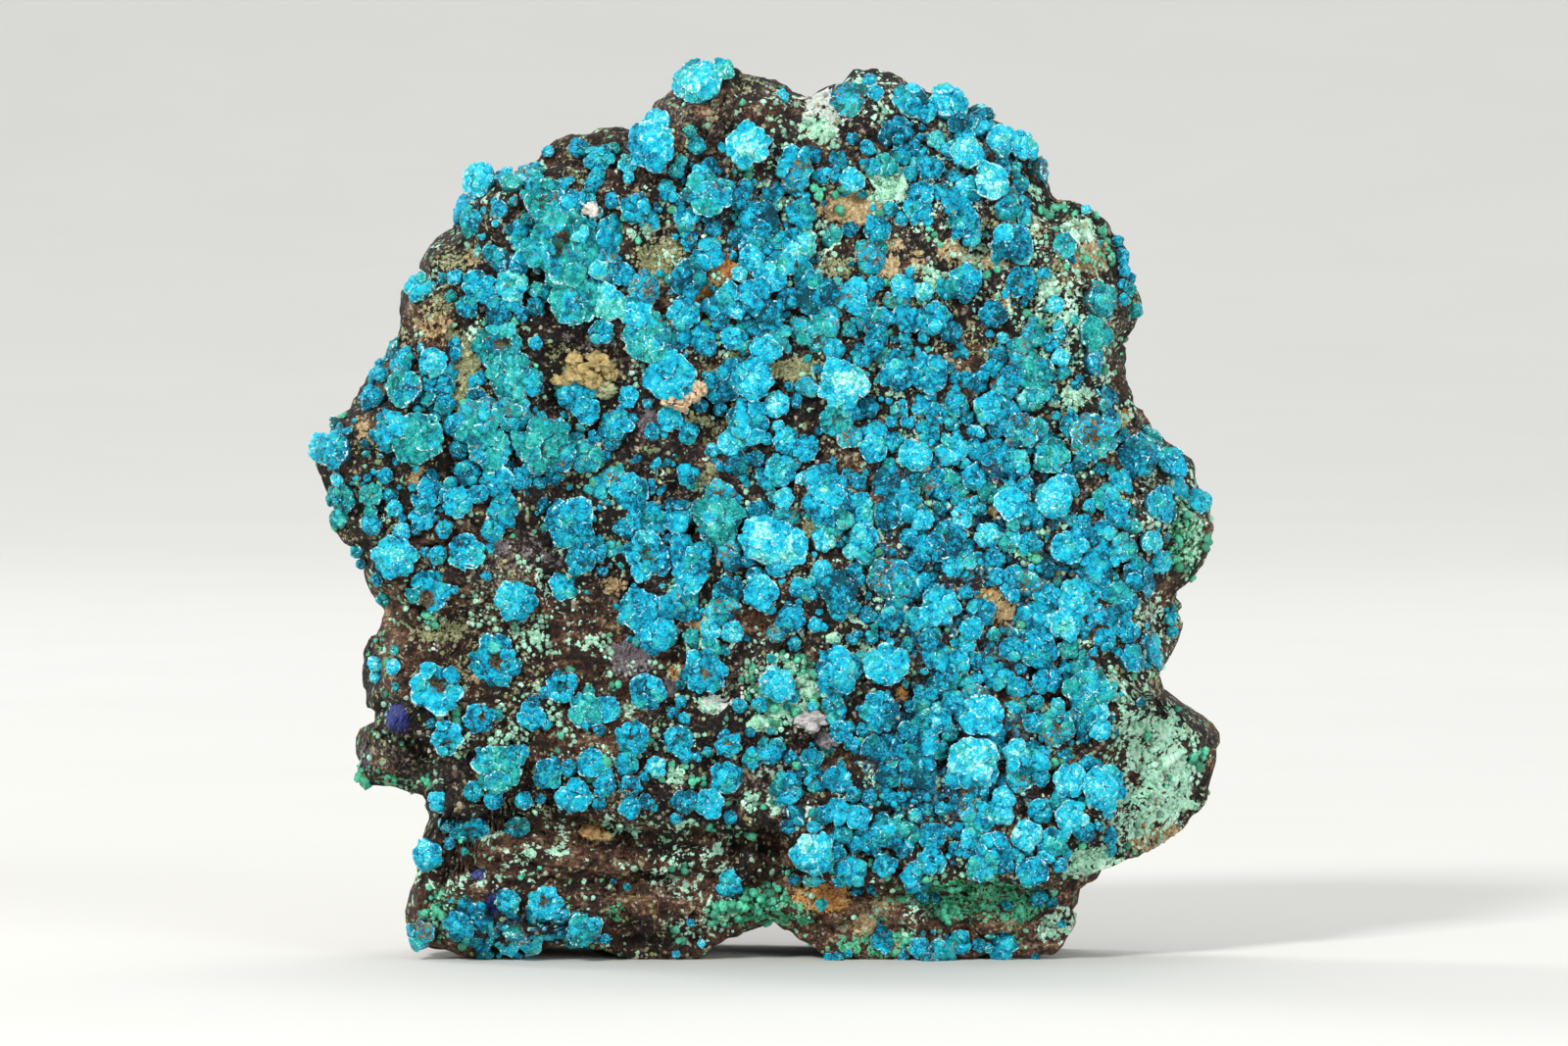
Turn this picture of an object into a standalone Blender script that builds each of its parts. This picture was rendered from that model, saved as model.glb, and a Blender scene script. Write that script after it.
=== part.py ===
"""Lavendulan specimen: a broken slab of dark matrix crusted with blue rosettes, standing on its lower broken edge.

Blender 4.5, metres, +Z up. The crusted face looks along -Y and the origin is at the middle of the base.
"""

import bmesh
import bpy
import numpy as np
from mathutils import Matrix, noise

MM = 0.001

# Places on the face were read by eye in picture pixels, from the left and from the top, and PIXEL makes them lengths.
PIXEL = 0.065 * MM
MIDDLE_PX = 784.5
GROUND_PX = 981.0
HUB_PX = (785.0, 530.0)

FACE_DEPTH = 8.4 * MM
BACK_DEPTH = 9.8 * MM
RIM_ROLL = 3.6 * MM
LEAST_THICKNESS = 4.6 * MM
ROUGHNESS = 0.45 * MM
CAGE_CUTS = 71
VOXEL = 0.36 * MM
TRIANGLES = 9700
HEAD_SPREAD = 1.06
HEAD_HEIGHT = 0.72
HEAD_LIFT = 0.32
RING_LOBES = 7
LOBE_SHARE = 0.38

# The broken outline, clockwise from its left end. Each notch of the real edge has its own points.
OUTLINE_PX = (
    (320, 470), (330, 433), (358, 413), (375, 397), (389, 377), (405, 355), (411, 318), (411, 296), (442, 283),
    (443, 259), (475, 247), (475, 205), (487, 185), (505, 173), (530, 170), (565, 150), (588, 140), (602, 139),
    (635, 133), (650, 129), (670, 101), (690, 85), (708, 70), (730, 62), (745, 66), (753, 77), (790, 76), (812, 92),
    (825, 96), (860, 84), (875, 78), (905, 80), (925, 86), (960, 91), (985, 101), (992, 113), (1015, 119),
    (1040, 133), (1056, 152), (1055, 167), (1073, 183), (1079, 199), (1110, 210), (1130, 230), (1150, 246),
    (1163, 275), (1161, 322), (1145, 345), (1152, 390), (1162, 412), (1186, 446), (1206, 461), (1226, 478),
    (1228, 497), (1240, 535), (1239, 560), (1225, 585), (1207, 603), (1199, 630), (1195, 661), (1180, 690),
    (1190, 711), (1219, 734), (1244, 757), (1249, 775), (1242, 803), (1232, 825), (1215, 850), (1186, 866),
    (1155, 879), (1131, 890), (1097, 912), (1102, 928), (1094, 960), (1082, 981), (1035, 984), (1010, 976),
    (985, 978), (958, 987), (930, 981), (893, 986), (850, 978), (812, 961), (788, 951), (755, 959), (726, 967),
    (715, 977), (668, 984), (642, 988), (615, 977), (590, 963), (560, 970), (545, 981), (470, 983), (452, 970),
    (421, 955), (423, 922), (428, 897), (421, 870), (439, 842), (438, 820), (391, 805), (361, 811), (353, 780),
    (360, 760), (388, 733), (375, 708), (375, 665), (389, 622), (371, 597), (362, 560), (343, 541), (338, 514),
    (322, 484),
)

# The edge between the crusted face and the bare strata below it, from left to right.
LEDGE_PX = ((400, 832), (505, 831), (600, 824), (700, 838), (790, 842), (822, 895), (960, 898), (1080, 893), (1250, 890))

# Steps and hollows of the face: middle, half width and half height in pixels, and how far it lies back.
HOLLOWS_PX = (
    (1210, 790, 82, 92, 3.6 * MM),
    (395, 782, 52, 40, 3.4 * MM),
    (1195, 320, 90, 200, 2.6 * MM),
    (1230, 585, 70, 120, 2.4 * MM),
    (842, 778, 30, 36, 1.3 * MM),
    (600, 395, 52, 58, 0.9 * MM),
    (680, 505, 46, 46, 0.8 * MM),
    (560, 640, 120, 60, 0.7 * MM),
    (840, 112, 44, 34, 0.9 * MM),
    (430, 640, 60, 60, 0.8 * MM),
)

# The ridge of rock that runs along the foot of the strata: middle, half width, half height and how far it stands out.
FOOT_RIDGE_PX = (610, 930, 210, 26, 1.5 * MM)

# Flats of the broken back: the slope of each plane along X and Z, and its height over the middle of the back.
BACK_PLANES = (
    (0.02, -0.16, 1.00),
    (0.30, -0.05, 1.20),
    (-0.27, 0.04, 1.14),
    (0.08, -0.42, 1.40),
    (-0.12, 0.13, 1.22),
)

# Rosettes with a full head: x, y and radius in pixels.
HEADS_PX = (
    (497, 190, 20), (612, 160, 17), (718, 86, 25), (677, 140, 28), (762, 150, 23), (722, 200, 25),
    (647, 213, 17), (868, 110, 20), (927, 107, 20), (915, 135, 16), (775, 225, 22), (815, 250, 19),
    (895, 235, 16), (965, 112, 22), (1028, 147, 24), (985, 158, 18), (1012, 187, 19), (945, 203, 16),
    (985, 227, 16), (1032, 248, 23), (430, 298, 16), (490, 293, 18), (588, 307, 27), (520, 380, 24),
    (415, 372, 15), (445, 368, 16), (418, 395, 21), (598, 418, 16), (622, 308, 20), (657, 292, 17),
    (648, 318, 18), (662, 347, 27), (702, 283, 21), (698, 318, 18), (750, 308, 22), (787, 283, 18),
    (832, 300, 24), (872, 303, 16), (785, 322, 17), (783, 357, 17), (925, 325, 16), (688, 385, 28),
    (768, 392, 22), (762, 428, 24), (858, 390, 26), (853, 428, 18), (915, 378, 20), (948, 382, 22),
    (632, 435, 18), (985, 287, 19), (1013, 320, 16), (952, 325, 19), (1108, 307, 19), (1107, 340, 20),
    (1055, 378, 26), (1008, 415, 18), (1040, 440, 20), (346, 460, 24), (427, 448, 26), (500, 455, 24),
    (558, 455, 28), (478, 482, 15), (434, 518, 17), (468, 512, 17), (405, 565, 23), (478, 560, 20),
    (525, 610, 22), (583, 532, 28), (595, 567, 17), (643, 500, 20), (733, 527, 28), (788, 552, 30),
    (795, 574, 15), (843, 512, 24), (705, 584, 21), (742, 585, 18), (777, 603, 20), (882, 545, 16),
    (906, 588, 23), (855, 603, 21), (890, 458, 15), (932, 463, 18), (802, 462, 20), (877, 520, 16),
    (655, 617, 23), (808, 628, 16), (970, 458, 17), (1035, 472, 17), (1073, 463, 19), (1030, 513, 18),
    (1075, 508, 21), (1137, 522, 15), (1177, 515, 21), (1193, 476, 19), (948, 558, 18), (1088, 556, 20),
    (1055, 578, 15), (1172, 560, 17), (1068, 608, 16), (1093, 608, 20), (957, 617, 22), (542, 730, 15),
    (598, 724, 19), (506, 782, 26), (560, 788, 16), (605, 777, 16), (588, 811, 19), (440, 868, 18),
    (672, 645, 22), (662, 703, 20), (742, 792, 17), (725, 817, 17), (853, 680, 24), (902, 677, 23),
    (895, 722, 21), (792, 695, 20), (785, 762, 15), (890, 768, 18), (925, 775, 20), (1058, 665, 20),
    (1110, 703, 25), (985, 700, 20), (1003, 728, 24), (992, 773, 28), (1090, 793, 19), (1122, 800, 25),
    (1120, 735, 17), (1085, 640, 18), (828, 866, 24), (905, 845, 18), (950, 862, 20), (1015, 850, 19),
    (1047, 848, 17), (1090, 830, 18), (1073, 860, 18), (1000, 880, 16), (466, 943, 17), (532, 962, 18),
    (595, 945, 20), (555, 915, 16), (523, 292, 17), (1042, 290, 17), (355, 505, 15), (908, 522, 16),
    (457, 752, 18), (490, 731, 17), (573, 697, 18), (648, 750, 18), (692, 752, 16), (803, 801, 18),
)

# Rosettes grown as a ring round a hollow: x, y and radius in pixels.
RINGS_PX = (
    (580, 250, 34), (558, 206, 22), (512, 352, 26), (1112, 445, 25), (440, 603, 22), (663, 562, 23),
    (965, 550, 20), (507, 672, 27), (446, 702, 27), (720, 683, 24), (478, 843, 21), (1077, 740, 20),
)


def across(px):
    """Metres along X of a pixel column."""
    return (np.asarray(px, float) - MIDDLE_PX) * PIXEL


def up(py):
    """Metres along Z of a pixel row."""
    return (GROUND_PX - np.asarray(py, float)) * PIXEL


def noise_field(x, y, z, scale, seed):
    """Smooth noise, about -1 to 1, at each point, with lumps as wide as scale."""
    shift = 17.3 * seed
    return np.array([
        noise.noise((a / scale + shift, b / scale - shift, c / scale + 0.5 * shift), noise_basis="PERLIN_ORIGINAL")
        for a, b, c in zip(x, y, z)
    ])


def smooth_step(value, low, high):
    """0 below low, 1 above high and a soft S between them."""
    t = np.clip((value - low) / (high - low), 0.0, 1.0)
    return t * t * (3.0 - 2.0 * t)


def rim_radius(angle):
    """The outline's distance from the hub in each direction."""
    points = np.array(OUTLINE_PX, float) - HUB_PX
    directions = np.arctan2(-points[:, 1], points[:, 0])
    radii = np.hypot(points[:, 0], points[:, 1]) * PIXEL
    return np.interp(angle, directions, radii, period=2.0 * np.pi)


def share_of_rim(x, z):
    """0 at the hub and 1 at the outline."""
    dx = x - across(HUB_PX[0])
    dz = z - up(HUB_PX[1])
    return np.hypot(dx, dz) / rim_radius(np.arctan2(dz, dx))


def bump(x, z, middle_px, half_px):
    """A flat-topped oval of height 1 that falls to 0 over the outer third of its size."""
    reach = np.hypot((x - across(middle_px[0])) / (half_px[0] * PIXEL), (z - up(middle_px[1])) / (half_px[1] * PIXEL))
    return 1.0 - smooth_step(reach, 0.72, 1.12)


def face_depth(x, z):
    """How far the front face stands forward of the middle plane."""
    depth = np.full_like(x, FACE_DEPTH)
    depth += 0.8 * MM * np.sin(x / (9.0 * MM) + 0.6) * np.sin(z / (11.0 * MM) - 0.4)
    ledge = np.interp(x, across([p[0] for p in LEDGE_PX]), up([p[1] for p in LEDGE_PX]))
    below = 1.0 - smooth_step(z, ledge - 0.9 * MM, ledge + 0.2 * MM)
    strata = 0.28 * MM * np.sin((z + 0.05 * x) / (0.45 * MM))
    depth -= below * (2.7 * MM - strata)
    for px, py, half_x, half_z, back in HOLLOWS_PX:
        depth -= back * bump(x, z, (px, py), (half_x, half_z))
    px, py, half_x, half_z, proud = FOOT_RIDGE_PX
    depth += proud * bump(x, z, (px, py), (half_x, half_z))
    foot = 1.0 - smooth_step(z, 3.0 * MM, 12.0 * MM)
    roll = smooth_step(share_of_rim(x, z), 0.86, 1.0) ** 2
    return depth - RIM_ROLL * roll * (1.0 - 0.75 * foot)


def back_depth(x, z):
    """How far the broken back stands behind the middle plane: the lowest of a few sloping planes."""
    height = z - up(HUB_PX[1])
    planes = [slope_x * x + slope_z * height + level * BACK_DEPTH for slope_x, slope_z, level in BACK_PLANES]
    steps = 0.5 * MM * np.sin(x / (4.0 * MM) + height / (7.0 * MM))
    foot = 1.0 - smooth_step(z, 3.0 * MM, 12.0 * MM)
    roll = smooth_step(share_of_rim(x, z), 0.8, 1.0) ** 2
    back = np.min(planes, axis=0) + steps - RIM_ROLL * roll * (1.0 - foot)
    return np.maximum(back, LEAST_THICKNESS - face_depth(x, z))


def slab():
    """The matrix as a fine cube whose square face is spread over the outline and whose two faces take the relief."""
    mesh = bmesh.new()
    bmesh.ops.create_cube(mesh, size=2.0)
    bmesh.ops.subdivide_edges(mesh, edges=mesh.edges[:], cuts=CAGE_CUTS, use_grid_fill=True)
    cage = np.array([vertex.co for vertex in mesh.verts])
    u, v, w = cage.T
    disc_x = u * np.sqrt(1.0 - 0.5 * w * w)
    disc_z = w * np.sqrt(1.0 - 0.5 * u * u)
    radius = rim_radius(np.arctan2(disc_z, disc_x))
    x = across(HUB_PX[0]) + disc_x * radius
    z = up(HUB_PX[1]) + disc_z * radius
    through = 0.5 * (v + 1.0)
    y = back_depth(x, z) * through - face_depth(x, z) * (1.0 - through)
    for step, (scale, share) in enumerate(((6.0 * MM, 1.0), (2.6 * MM, 0.6))):
        push = ROUGHNESS * share * noise_field(x, y, z, scale, step)
        side = np.clip((np.hypot(disc_x, disc_z) - 0.97) / 0.03, 0.0, 1.0)
        y = y + np.where(v > 0.0, push, -0.6 * push)
        x = x + 0.5 * side * disc_x * push
        z = z + 0.5 * side * disc_z * push
    for vertex, place in zip(mesh.verts, np.stack((x, y, z), axis=1)):
        vertex.co = place
    return mesh


def add_ball(mesh, x, z, radius, height, lift):
    """A flattened ball of the given radius, sunk in the face with its middle lifted by lift."""
    y = -float(face_depth(np.array([x]), np.array([z]))[0]) - lift
    place = Matrix.Translation((x, y, z)) @ Matrix.Diagonal((radius, height, radius, 1.0))
    bmesh.ops.create_icosphere(mesh, subdivisions=2, radius=1.0, matrix=place)


def add_head(mesh, px, py, radius_px):
    """A rosette with a full head: one low dome."""
    radius = radius_px * PIXEL
    add_ball(mesh, float(across(px)), float(up(py)), HEAD_SPREAD * radius, HEAD_HEIGHT * radius, HEAD_LIFT * radius)


def add_ring(mesh, px, py, radius_px):
    """A rosette grown as a ring: lobes side by side round a hollow."""
    radius = radius_px * PIXEL
    lobe = LOBE_SHARE * radius
    for step in range(RING_LOBES):
        turn = 2.0 * np.pi * step / RING_LOBES
        x = float(across(px)) + (HEAD_SPREAD * radius - lobe) * np.cos(turn)
        z = float(up(py)) + (HEAD_SPREAD * radius - lobe) * np.sin(turn)
        add_ball(mesh, x, z, lobe, HEAD_HEIGHT * radius, HEAD_LIFT * radius)


def rock_material():
    """Blue crust over dark rock, as one dull finish."""
    material = bpy.data.materials.new("lavendulan_on_matrix")
    material.use_nodes = True
    shader = material.node_tree.nodes["Principled BSDF"]
    shader.inputs["Base Color"].default_value = (0.03, 0.30, 0.48, 1.0)
    shader.inputs["Roughness"].default_value = 0.75
    shader.inputs["Metallic"].default_value = 0.0
    material.diffuse_color = (0.03, 0.30, 0.48, 1.0)
    return material


def new_object(name, mesh, collection):
    """An object in the collection."""
    thing = bpy.data.objects.new(name, mesh)
    collection.objects.link(thing)
    return thing


def evaluated_mesh(thing):
    """The object's mesh with its modifiers applied."""
    depsgraph = bpy.context.evaluated_depsgraph_get()
    return bpy.data.meshes.new_from_object(thing.evaluated_get(depsgraph))


def fused(cage, collection):
    """Slab and rosettes made one closed skin, thinned to the wanted number of triangles."""
    mesh = bpy.data.meshes.new("crusted_cage")
    cage.to_mesh(mesh)
    cage.free()
    thing = new_object("crusted_cage", mesh, collection)
    skin = thing.modifiers.new("one_skin", "REMESH")
    skin.mode = "VOXEL"
    skin.voxel_size = VOXEL
    skin_faces = len(evaluated_mesh(thing).polygons)
    thin = thing.modifiers.new("thin", "DECIMATE")
    thin.ratio = TRIANGLES / (2.0 * skin_faces)
    return thing


def below_ground(collection):
    """The block that cuts the lowest bumps of the broken edge level."""
    mesh = bpy.data.meshes.new("below_ground")
    block = bmesh.new()
    place = Matrix.Translation((0.0, 0.0, -5.0 * MM)) @ Matrix.Diagonal((90.0 * MM, 60.0 * MM, 10.0 * MM, 1.0))
    bmesh.ops.create_cube(block, size=1.0, matrix=place)
    block.to_mesh(mesh)
    block.free()
    cutter = new_object("below_ground", mesh, collection)
    cutter.hide_render = True
    cutter.display_type = "WIRE"
    return cutter


def main():
    """Build the specimen."""
    for thing in list(bpy.data.objects):
        bpy.data.objects.remove(thing, do_unlink=True)
    parts = bpy.data.collections.new("lavendulan_specimen")
    helpers = bpy.data.collections.new("cutters")
    for collection in (parts, helpers):
        bpy.context.scene.collection.children.link(collection)

    cage = slab()
    for px, py, radius_px in HEADS_PX:
        add_head(cage, px, py, radius_px)
    for px, py, radius_px in RINGS_PX:
        add_ring(cage, px, py, radius_px)
    crusted = fused(cage, helpers)
    level = crusted.modifiers.new("level", "BOOLEAN")
    level.operation = "DIFFERENCE"
    level.solver = "EXACT"
    level.object = below_ground(helpers)

    mesh = evaluated_mesh(crusted)
    places = np.array([vertex.co for vertex in mesh.vertices])
    centre = 0.5 * (places.min(axis=0) + places.max(axis=0))
    mesh.transform(Matrix.Translation((-centre[0], -centre[1], 0.0)))
    bpy.data.objects.remove(crusted, do_unlink=True)
    specimen = new_object("specimen", mesh, parts)
    specimen.data.name = "specimen"
    specimen.data.materials.clear()
    specimen.data.materials.append(rock_material())


main()
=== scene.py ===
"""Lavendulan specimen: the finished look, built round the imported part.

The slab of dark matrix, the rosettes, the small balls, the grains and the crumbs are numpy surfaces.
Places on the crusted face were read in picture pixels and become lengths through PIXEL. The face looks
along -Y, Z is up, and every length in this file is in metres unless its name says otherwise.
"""

from __future__ import annotations

import itertools
import logging
import math
from dataclasses import dataclass, field
from enum import Enum

import bpy
import numpy as np
from mathutils import Vector
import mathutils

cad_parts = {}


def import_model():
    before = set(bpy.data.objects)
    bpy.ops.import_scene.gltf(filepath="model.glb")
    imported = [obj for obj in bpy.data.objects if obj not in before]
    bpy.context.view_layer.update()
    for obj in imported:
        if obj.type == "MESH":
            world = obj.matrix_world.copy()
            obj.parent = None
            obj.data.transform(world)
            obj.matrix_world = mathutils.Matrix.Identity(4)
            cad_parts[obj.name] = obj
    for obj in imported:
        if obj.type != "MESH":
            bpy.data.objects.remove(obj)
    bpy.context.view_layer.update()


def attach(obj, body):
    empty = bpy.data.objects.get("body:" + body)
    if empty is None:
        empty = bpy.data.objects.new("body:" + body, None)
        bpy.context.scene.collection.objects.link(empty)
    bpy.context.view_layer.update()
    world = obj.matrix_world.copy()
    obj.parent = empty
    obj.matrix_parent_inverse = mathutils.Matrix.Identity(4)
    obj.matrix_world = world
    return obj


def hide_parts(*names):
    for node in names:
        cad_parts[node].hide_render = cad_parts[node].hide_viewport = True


LOG = logging.getLogger("lavendulan")
MM = 0.001
PIXEL = 0.065 * MM
MIDDLE_PX = 784.5
GROUND_PX = 981.0
HUB_PX = (785.0, 530.0)

Row = tuple[float, ...]
Colour = tuple[float, float, float]


def rows(text: str) -> list[Row]:
    """The rows of a table: numbers with commas between them, and blanks between the rows."""
    return [tuple(map(float, row.split(","))) for row in text.split()]


def groups(text: str) -> dict[str, list[Row]]:
    """The named groups of a table: a name and its rows, then a semicolon before the next name."""
    named = (group.split(maxsplit=1) for group in text.split(";"))
    return {name: rows(numbers) for name, numbers in named}


# The broken outline, clockwise from its left end. Each notch of the real edge has its own points.
OUTLINE_PX = rows("""
    320,470 330,433 358,413 375,397 389,377 405,355 411,318 411,296 442,283 443,259 475,247 475,205 487,185
    505,173 530,170 565,150 588,140 602,139 635,133 650,129 670,101 690,85 708,70 730,62 745,66 753,77 790,76
    812,92 825,96 860,84 875,78 905,80 925,86 960,91 985,101 992,113 1015,119 1040,133 1056,152 1055,167
    1073,183 1079,199 1110,210 1130,230 1150,246 1163,275 1161,322 1145,345 1152,390 1162,412 1186,446
    1206,461 1226,478 1228,497 1240,535 1239,560 1225,585 1207,603 1199,630 1195,661 1180,690 1190,711
    1219,734 1244,757 1249,775 1242,803 1232,825 1215,850 1186,866 1155,879 1131,890 1097,912 1102,928
    1094,960 1082,981 1035,984 1010,976 985,978 958,987 930,981 893,986 850,978 812,961 788,951 755,959
    726,967 715,977 668,984 642,988 615,977 590,963 560,970 545,981 470,983 452,970 421,955 423,922 428,897
    421,870 439,842 438,820 391,805 361,811 353,780 360,760 388,733 375,708 375,665 389,622 371,597 362,560
    343,541 338,514 322,484
""")

# The edge between the crusted face and the bare strata below it, from left to right.
LEDGE_PX = rows("""
    400,832 505,831 600,824 700,838 790,842 822,895 960,898 1080,893 1250,890
""")

# Steps and hollows of the face: middle, half width and half height in pixels, and how far it lies back.
HOLLOWS_PX = (
    (1210, 790, 82, 92, 3.6 * MM),
    (395, 782, 52, 40, 3.4 * MM),
    (1195, 320, 90, 200, 2.6 * MM),
    (1230, 585, 70, 120, 2.4 * MM),
    (842, 778, 30, 36, 1.3 * MM),
    (600, 395, 52, 58, 0.9 * MM),
    (680, 505, 46, 46, 0.8 * MM),
    (560, 640, 120, 60, 0.7 * MM),
    (840, 112, 44, 34, 0.9 * MM),
    (430, 640, 60, 60, 0.8 * MM),
)

# The ridge of rock that runs along the foot of the strata: middle, half sizes and how far it stands out.
FOOT_RIDGE_PX = (610, 930, 210, 26, 1.5 * MM)

# Flats of the broken back: the slope of each plane along X and Z, and its share of the back's depth.
BACK_PLANES = (
    (0.02, -0.16, 1.00),
    (0.30, -0.05, 1.20),
    (-0.27, 0.04, 1.14),
    (0.08, -0.42, 1.40),
    (-0.12, 0.13, 1.22),
)


def across(px: np.ndarray | float) -> np.ndarray:
    """Metres along X of a pixel column."""
    return (np.asarray(px, float) - MIDDLE_PX) * PIXEL


def up(py: np.ndarray | float) -> np.ndarray:
    """Metres along Z of a pixel row."""
    return (GROUND_PX - np.asarray(py, float)) * PIXEL


def smooth_step(value: np.ndarray, low: float | np.ndarray, high: float | np.ndarray) -> np.ndarray:
    """0 below low, 1 above high and 3t^2 - 2t^3 between them."""
    t = np.clip((value - low) / (high - low), 0.0, 1.0)
    return t * t * (3.0 - 2.0 * t)


def unit(vectors: np.ndarray) -> np.ndarray:
    """Each vector of the last axis at length one."""
    return vectors / np.maximum(np.linalg.norm(vectors, axis=-1, keepdims=True), 1e-12)


def lattice_chance(cells: np.ndarray, seed: int) -> np.ndarray:
    """A fixed number from 0 to 1 for each whole-number cell along the last axis.

    The coordinates are multiplied by large odd numbers, mixed by shifts and cut to 24 bits.
    """
    primes = np.array((73856093, 19349663, 83492791, 49979693), dtype=np.uint64)[: cells.shape[-1]]
    mixed = np.full(cells.shape[:-1], (seed * 2654435761 + 97) % (1 << 32), dtype=np.uint64)
    for axis, prime in enumerate(primes):
        share = cells[..., axis].astype(np.int64).astype(np.uint64) * prime
        mixed = (mixed ^ share) & np.uint64(0xFFFFFFFF)
        mixed = (mixed * np.uint64(2246822519)) & np.uint64(0xFFFFFFFF)
        mixed ^= mixed >> np.uint64(15)
    return (mixed & np.uint64(0xFFFFFF)).astype(float) / float(0xFFFFFF)


def smooth_noise(points: np.ndarray, seed: int) -> np.ndarray:
    """Value noise from -1 to 1 with lumps one unit wide.

    The chances at the corners of each point's cell are blended by 6t^5 - 15t^4 + 10t^3 along each axis.
    """
    corner = np.floor(points).astype(np.int64)
    part = points - corner
    blend = part * part * part * (part * (part * 6.0 - 15.0) + 10.0)
    total = np.zeros(points.shape[:-1])
    for offset in itertools.product((0, 1), repeat=points.shape[-1]):
        side = np.array(offset)
        weight = np.prod(np.where(side == 1, blend, 1.0 - blend), axis=-1)
        total += weight * lattice_chance(corner + side, seed)
    return 2.0 * total - 1.0


def layered_noise(points: np.ndarray, size: float, seed: int, layers: int = 3) -> np.ndarray:
    """Smooth noise summed over layers, each half as wide and 0.55 as strong as the one before."""
    total = np.zeros(points.shape[:-1])
    for layer in range(layers):
        total += 0.55**layer * smooth_noise(points / (size * 0.5**layer) + 11.7 * layer, seed + layer)
    return total


def cell_chances(cells: np.ndarray, seed: int) -> np.ndarray:
    """Three fixed numbers from 0 to 1 for each cell."""
    return np.stack([lattice_chance(cells, seed + 31 * axis) for axis in range(3)], axis=-1)


def nearest_middle(points: np.ndarray, seed: int, margin: float) -> tuple[np.ndarray, np.ndarray]:
    """The nearest of the middles that are strewn one a lattice cell, off its walls by the margin.

    Returns:
        The way from that middle to each point, and the middle's cell.
    """
    corner = np.floor(points).astype(np.int64)
    cells = corner
    away = np.full(points.shape, math.inf)
    for offset in itertools.product((-1, 0, 1), repeat=3):
        cell = corner + np.array(offset)
        here = points - (cell + margin + (1.0 - 2.0 * margin) * cell_chances(cell, seed))
        closer = (np.sum(here**2, axis=-1) < np.sum(away**2, axis=-1))[..., None]
        away = np.where(closer, here, away)
        cells = np.where(closer, cell, cells)
    return away, cells


def globules(points: np.ndarray, seed: int) -> np.ndarray:
    """The height of round-topped bumps packed side by side: the root of 1 less the squared distance."""
    away, _ = nearest_middle(points, seed, 0.12)
    return np.sqrt(np.clip(1.0 - np.sum(away**2, axis=-1) / 0.72, 0.0, 1.0))


def facets(points: np.ndarray, seed: int) -> np.ndarray:
    """Broken faces: each lattice cell is a plane of its own, tilted at random about its middle."""
    away, cells = nearest_middle(points, seed, 0.1)
    slope = cell_chances(cells, seed + 7) - 0.5
    return np.sum(away * slope, axis=-1) + 0.4 * (cell_chances(cells, seed)[..., 0] - 0.5)


def new_piece(
    name: str,
    points: np.ndarray,
    faces: list[np.ndarray],
    colours: dict[str, np.ndarray],
    material: bpy.types.Material,
) -> bpy.types.Object:
    """A smooth-shaded mesh object at the origin, linked to the scene.

    Args:
        name: the piece's name.
        points: the vertices, one a row.
        faces: arrays of vertex numbers, each with its own number of corners a face.
        colours: four numbers a vertex for each attribute that the finish reads.
        material: the finish.
    """
    corners = np.concatenate([group.reshape(-1) for group in faces]).astype(np.int32)
    sizes = np.concatenate([np.full(len(group), group.shape[1], np.int32) for group in faces])
    mesh = bpy.data.meshes.new(name)
    mesh.vertices.add(len(points))
    mesh.vertices.foreach_set("co", points.astype(np.float32).reshape(-1))
    mesh.loops.add(len(corners))
    mesh.loops.foreach_set("vertex_index", corners)
    mesh.polygons.add(len(sizes))
    mesh.polygons.foreach_set("loop_start", np.concatenate(([0], np.cumsum(sizes)[:-1])).astype(np.int32))
    mesh.polygons.foreach_set("loop_total", sizes)
    mesh.polygons.foreach_set("use_smooth", np.ones(len(sizes), bool))
    for label, values in colours.items():
        layer = mesh.attributes.new(label, "FLOAT_COLOR", "POINT")
        layer.data.foreach_set("color", np.clip(values, 0.0, 1.0).astype(np.float32).reshape(-1))
    mesh.update(calc_edges=True)
    mesh.materials.append(material)
    piece = bpy.data.objects.new(name, mesh)
    bpy.context.scene.collection.objects.link(piece)
    LOG.info("%s: %d triangles", name, int(np.sum(sizes - 2)))
    return piece


def ring_quads(rings: np.ndarray) -> np.ndarray:
    """Quads between neighbouring closed rings of point numbers, one ring a row."""
    beside = np.roll(rings, -1, axis=1)
    return np.stack((rings[:-1], rings[1:], beside[1:], beside[:-1]), axis=-1).reshape(-1, 4)


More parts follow.
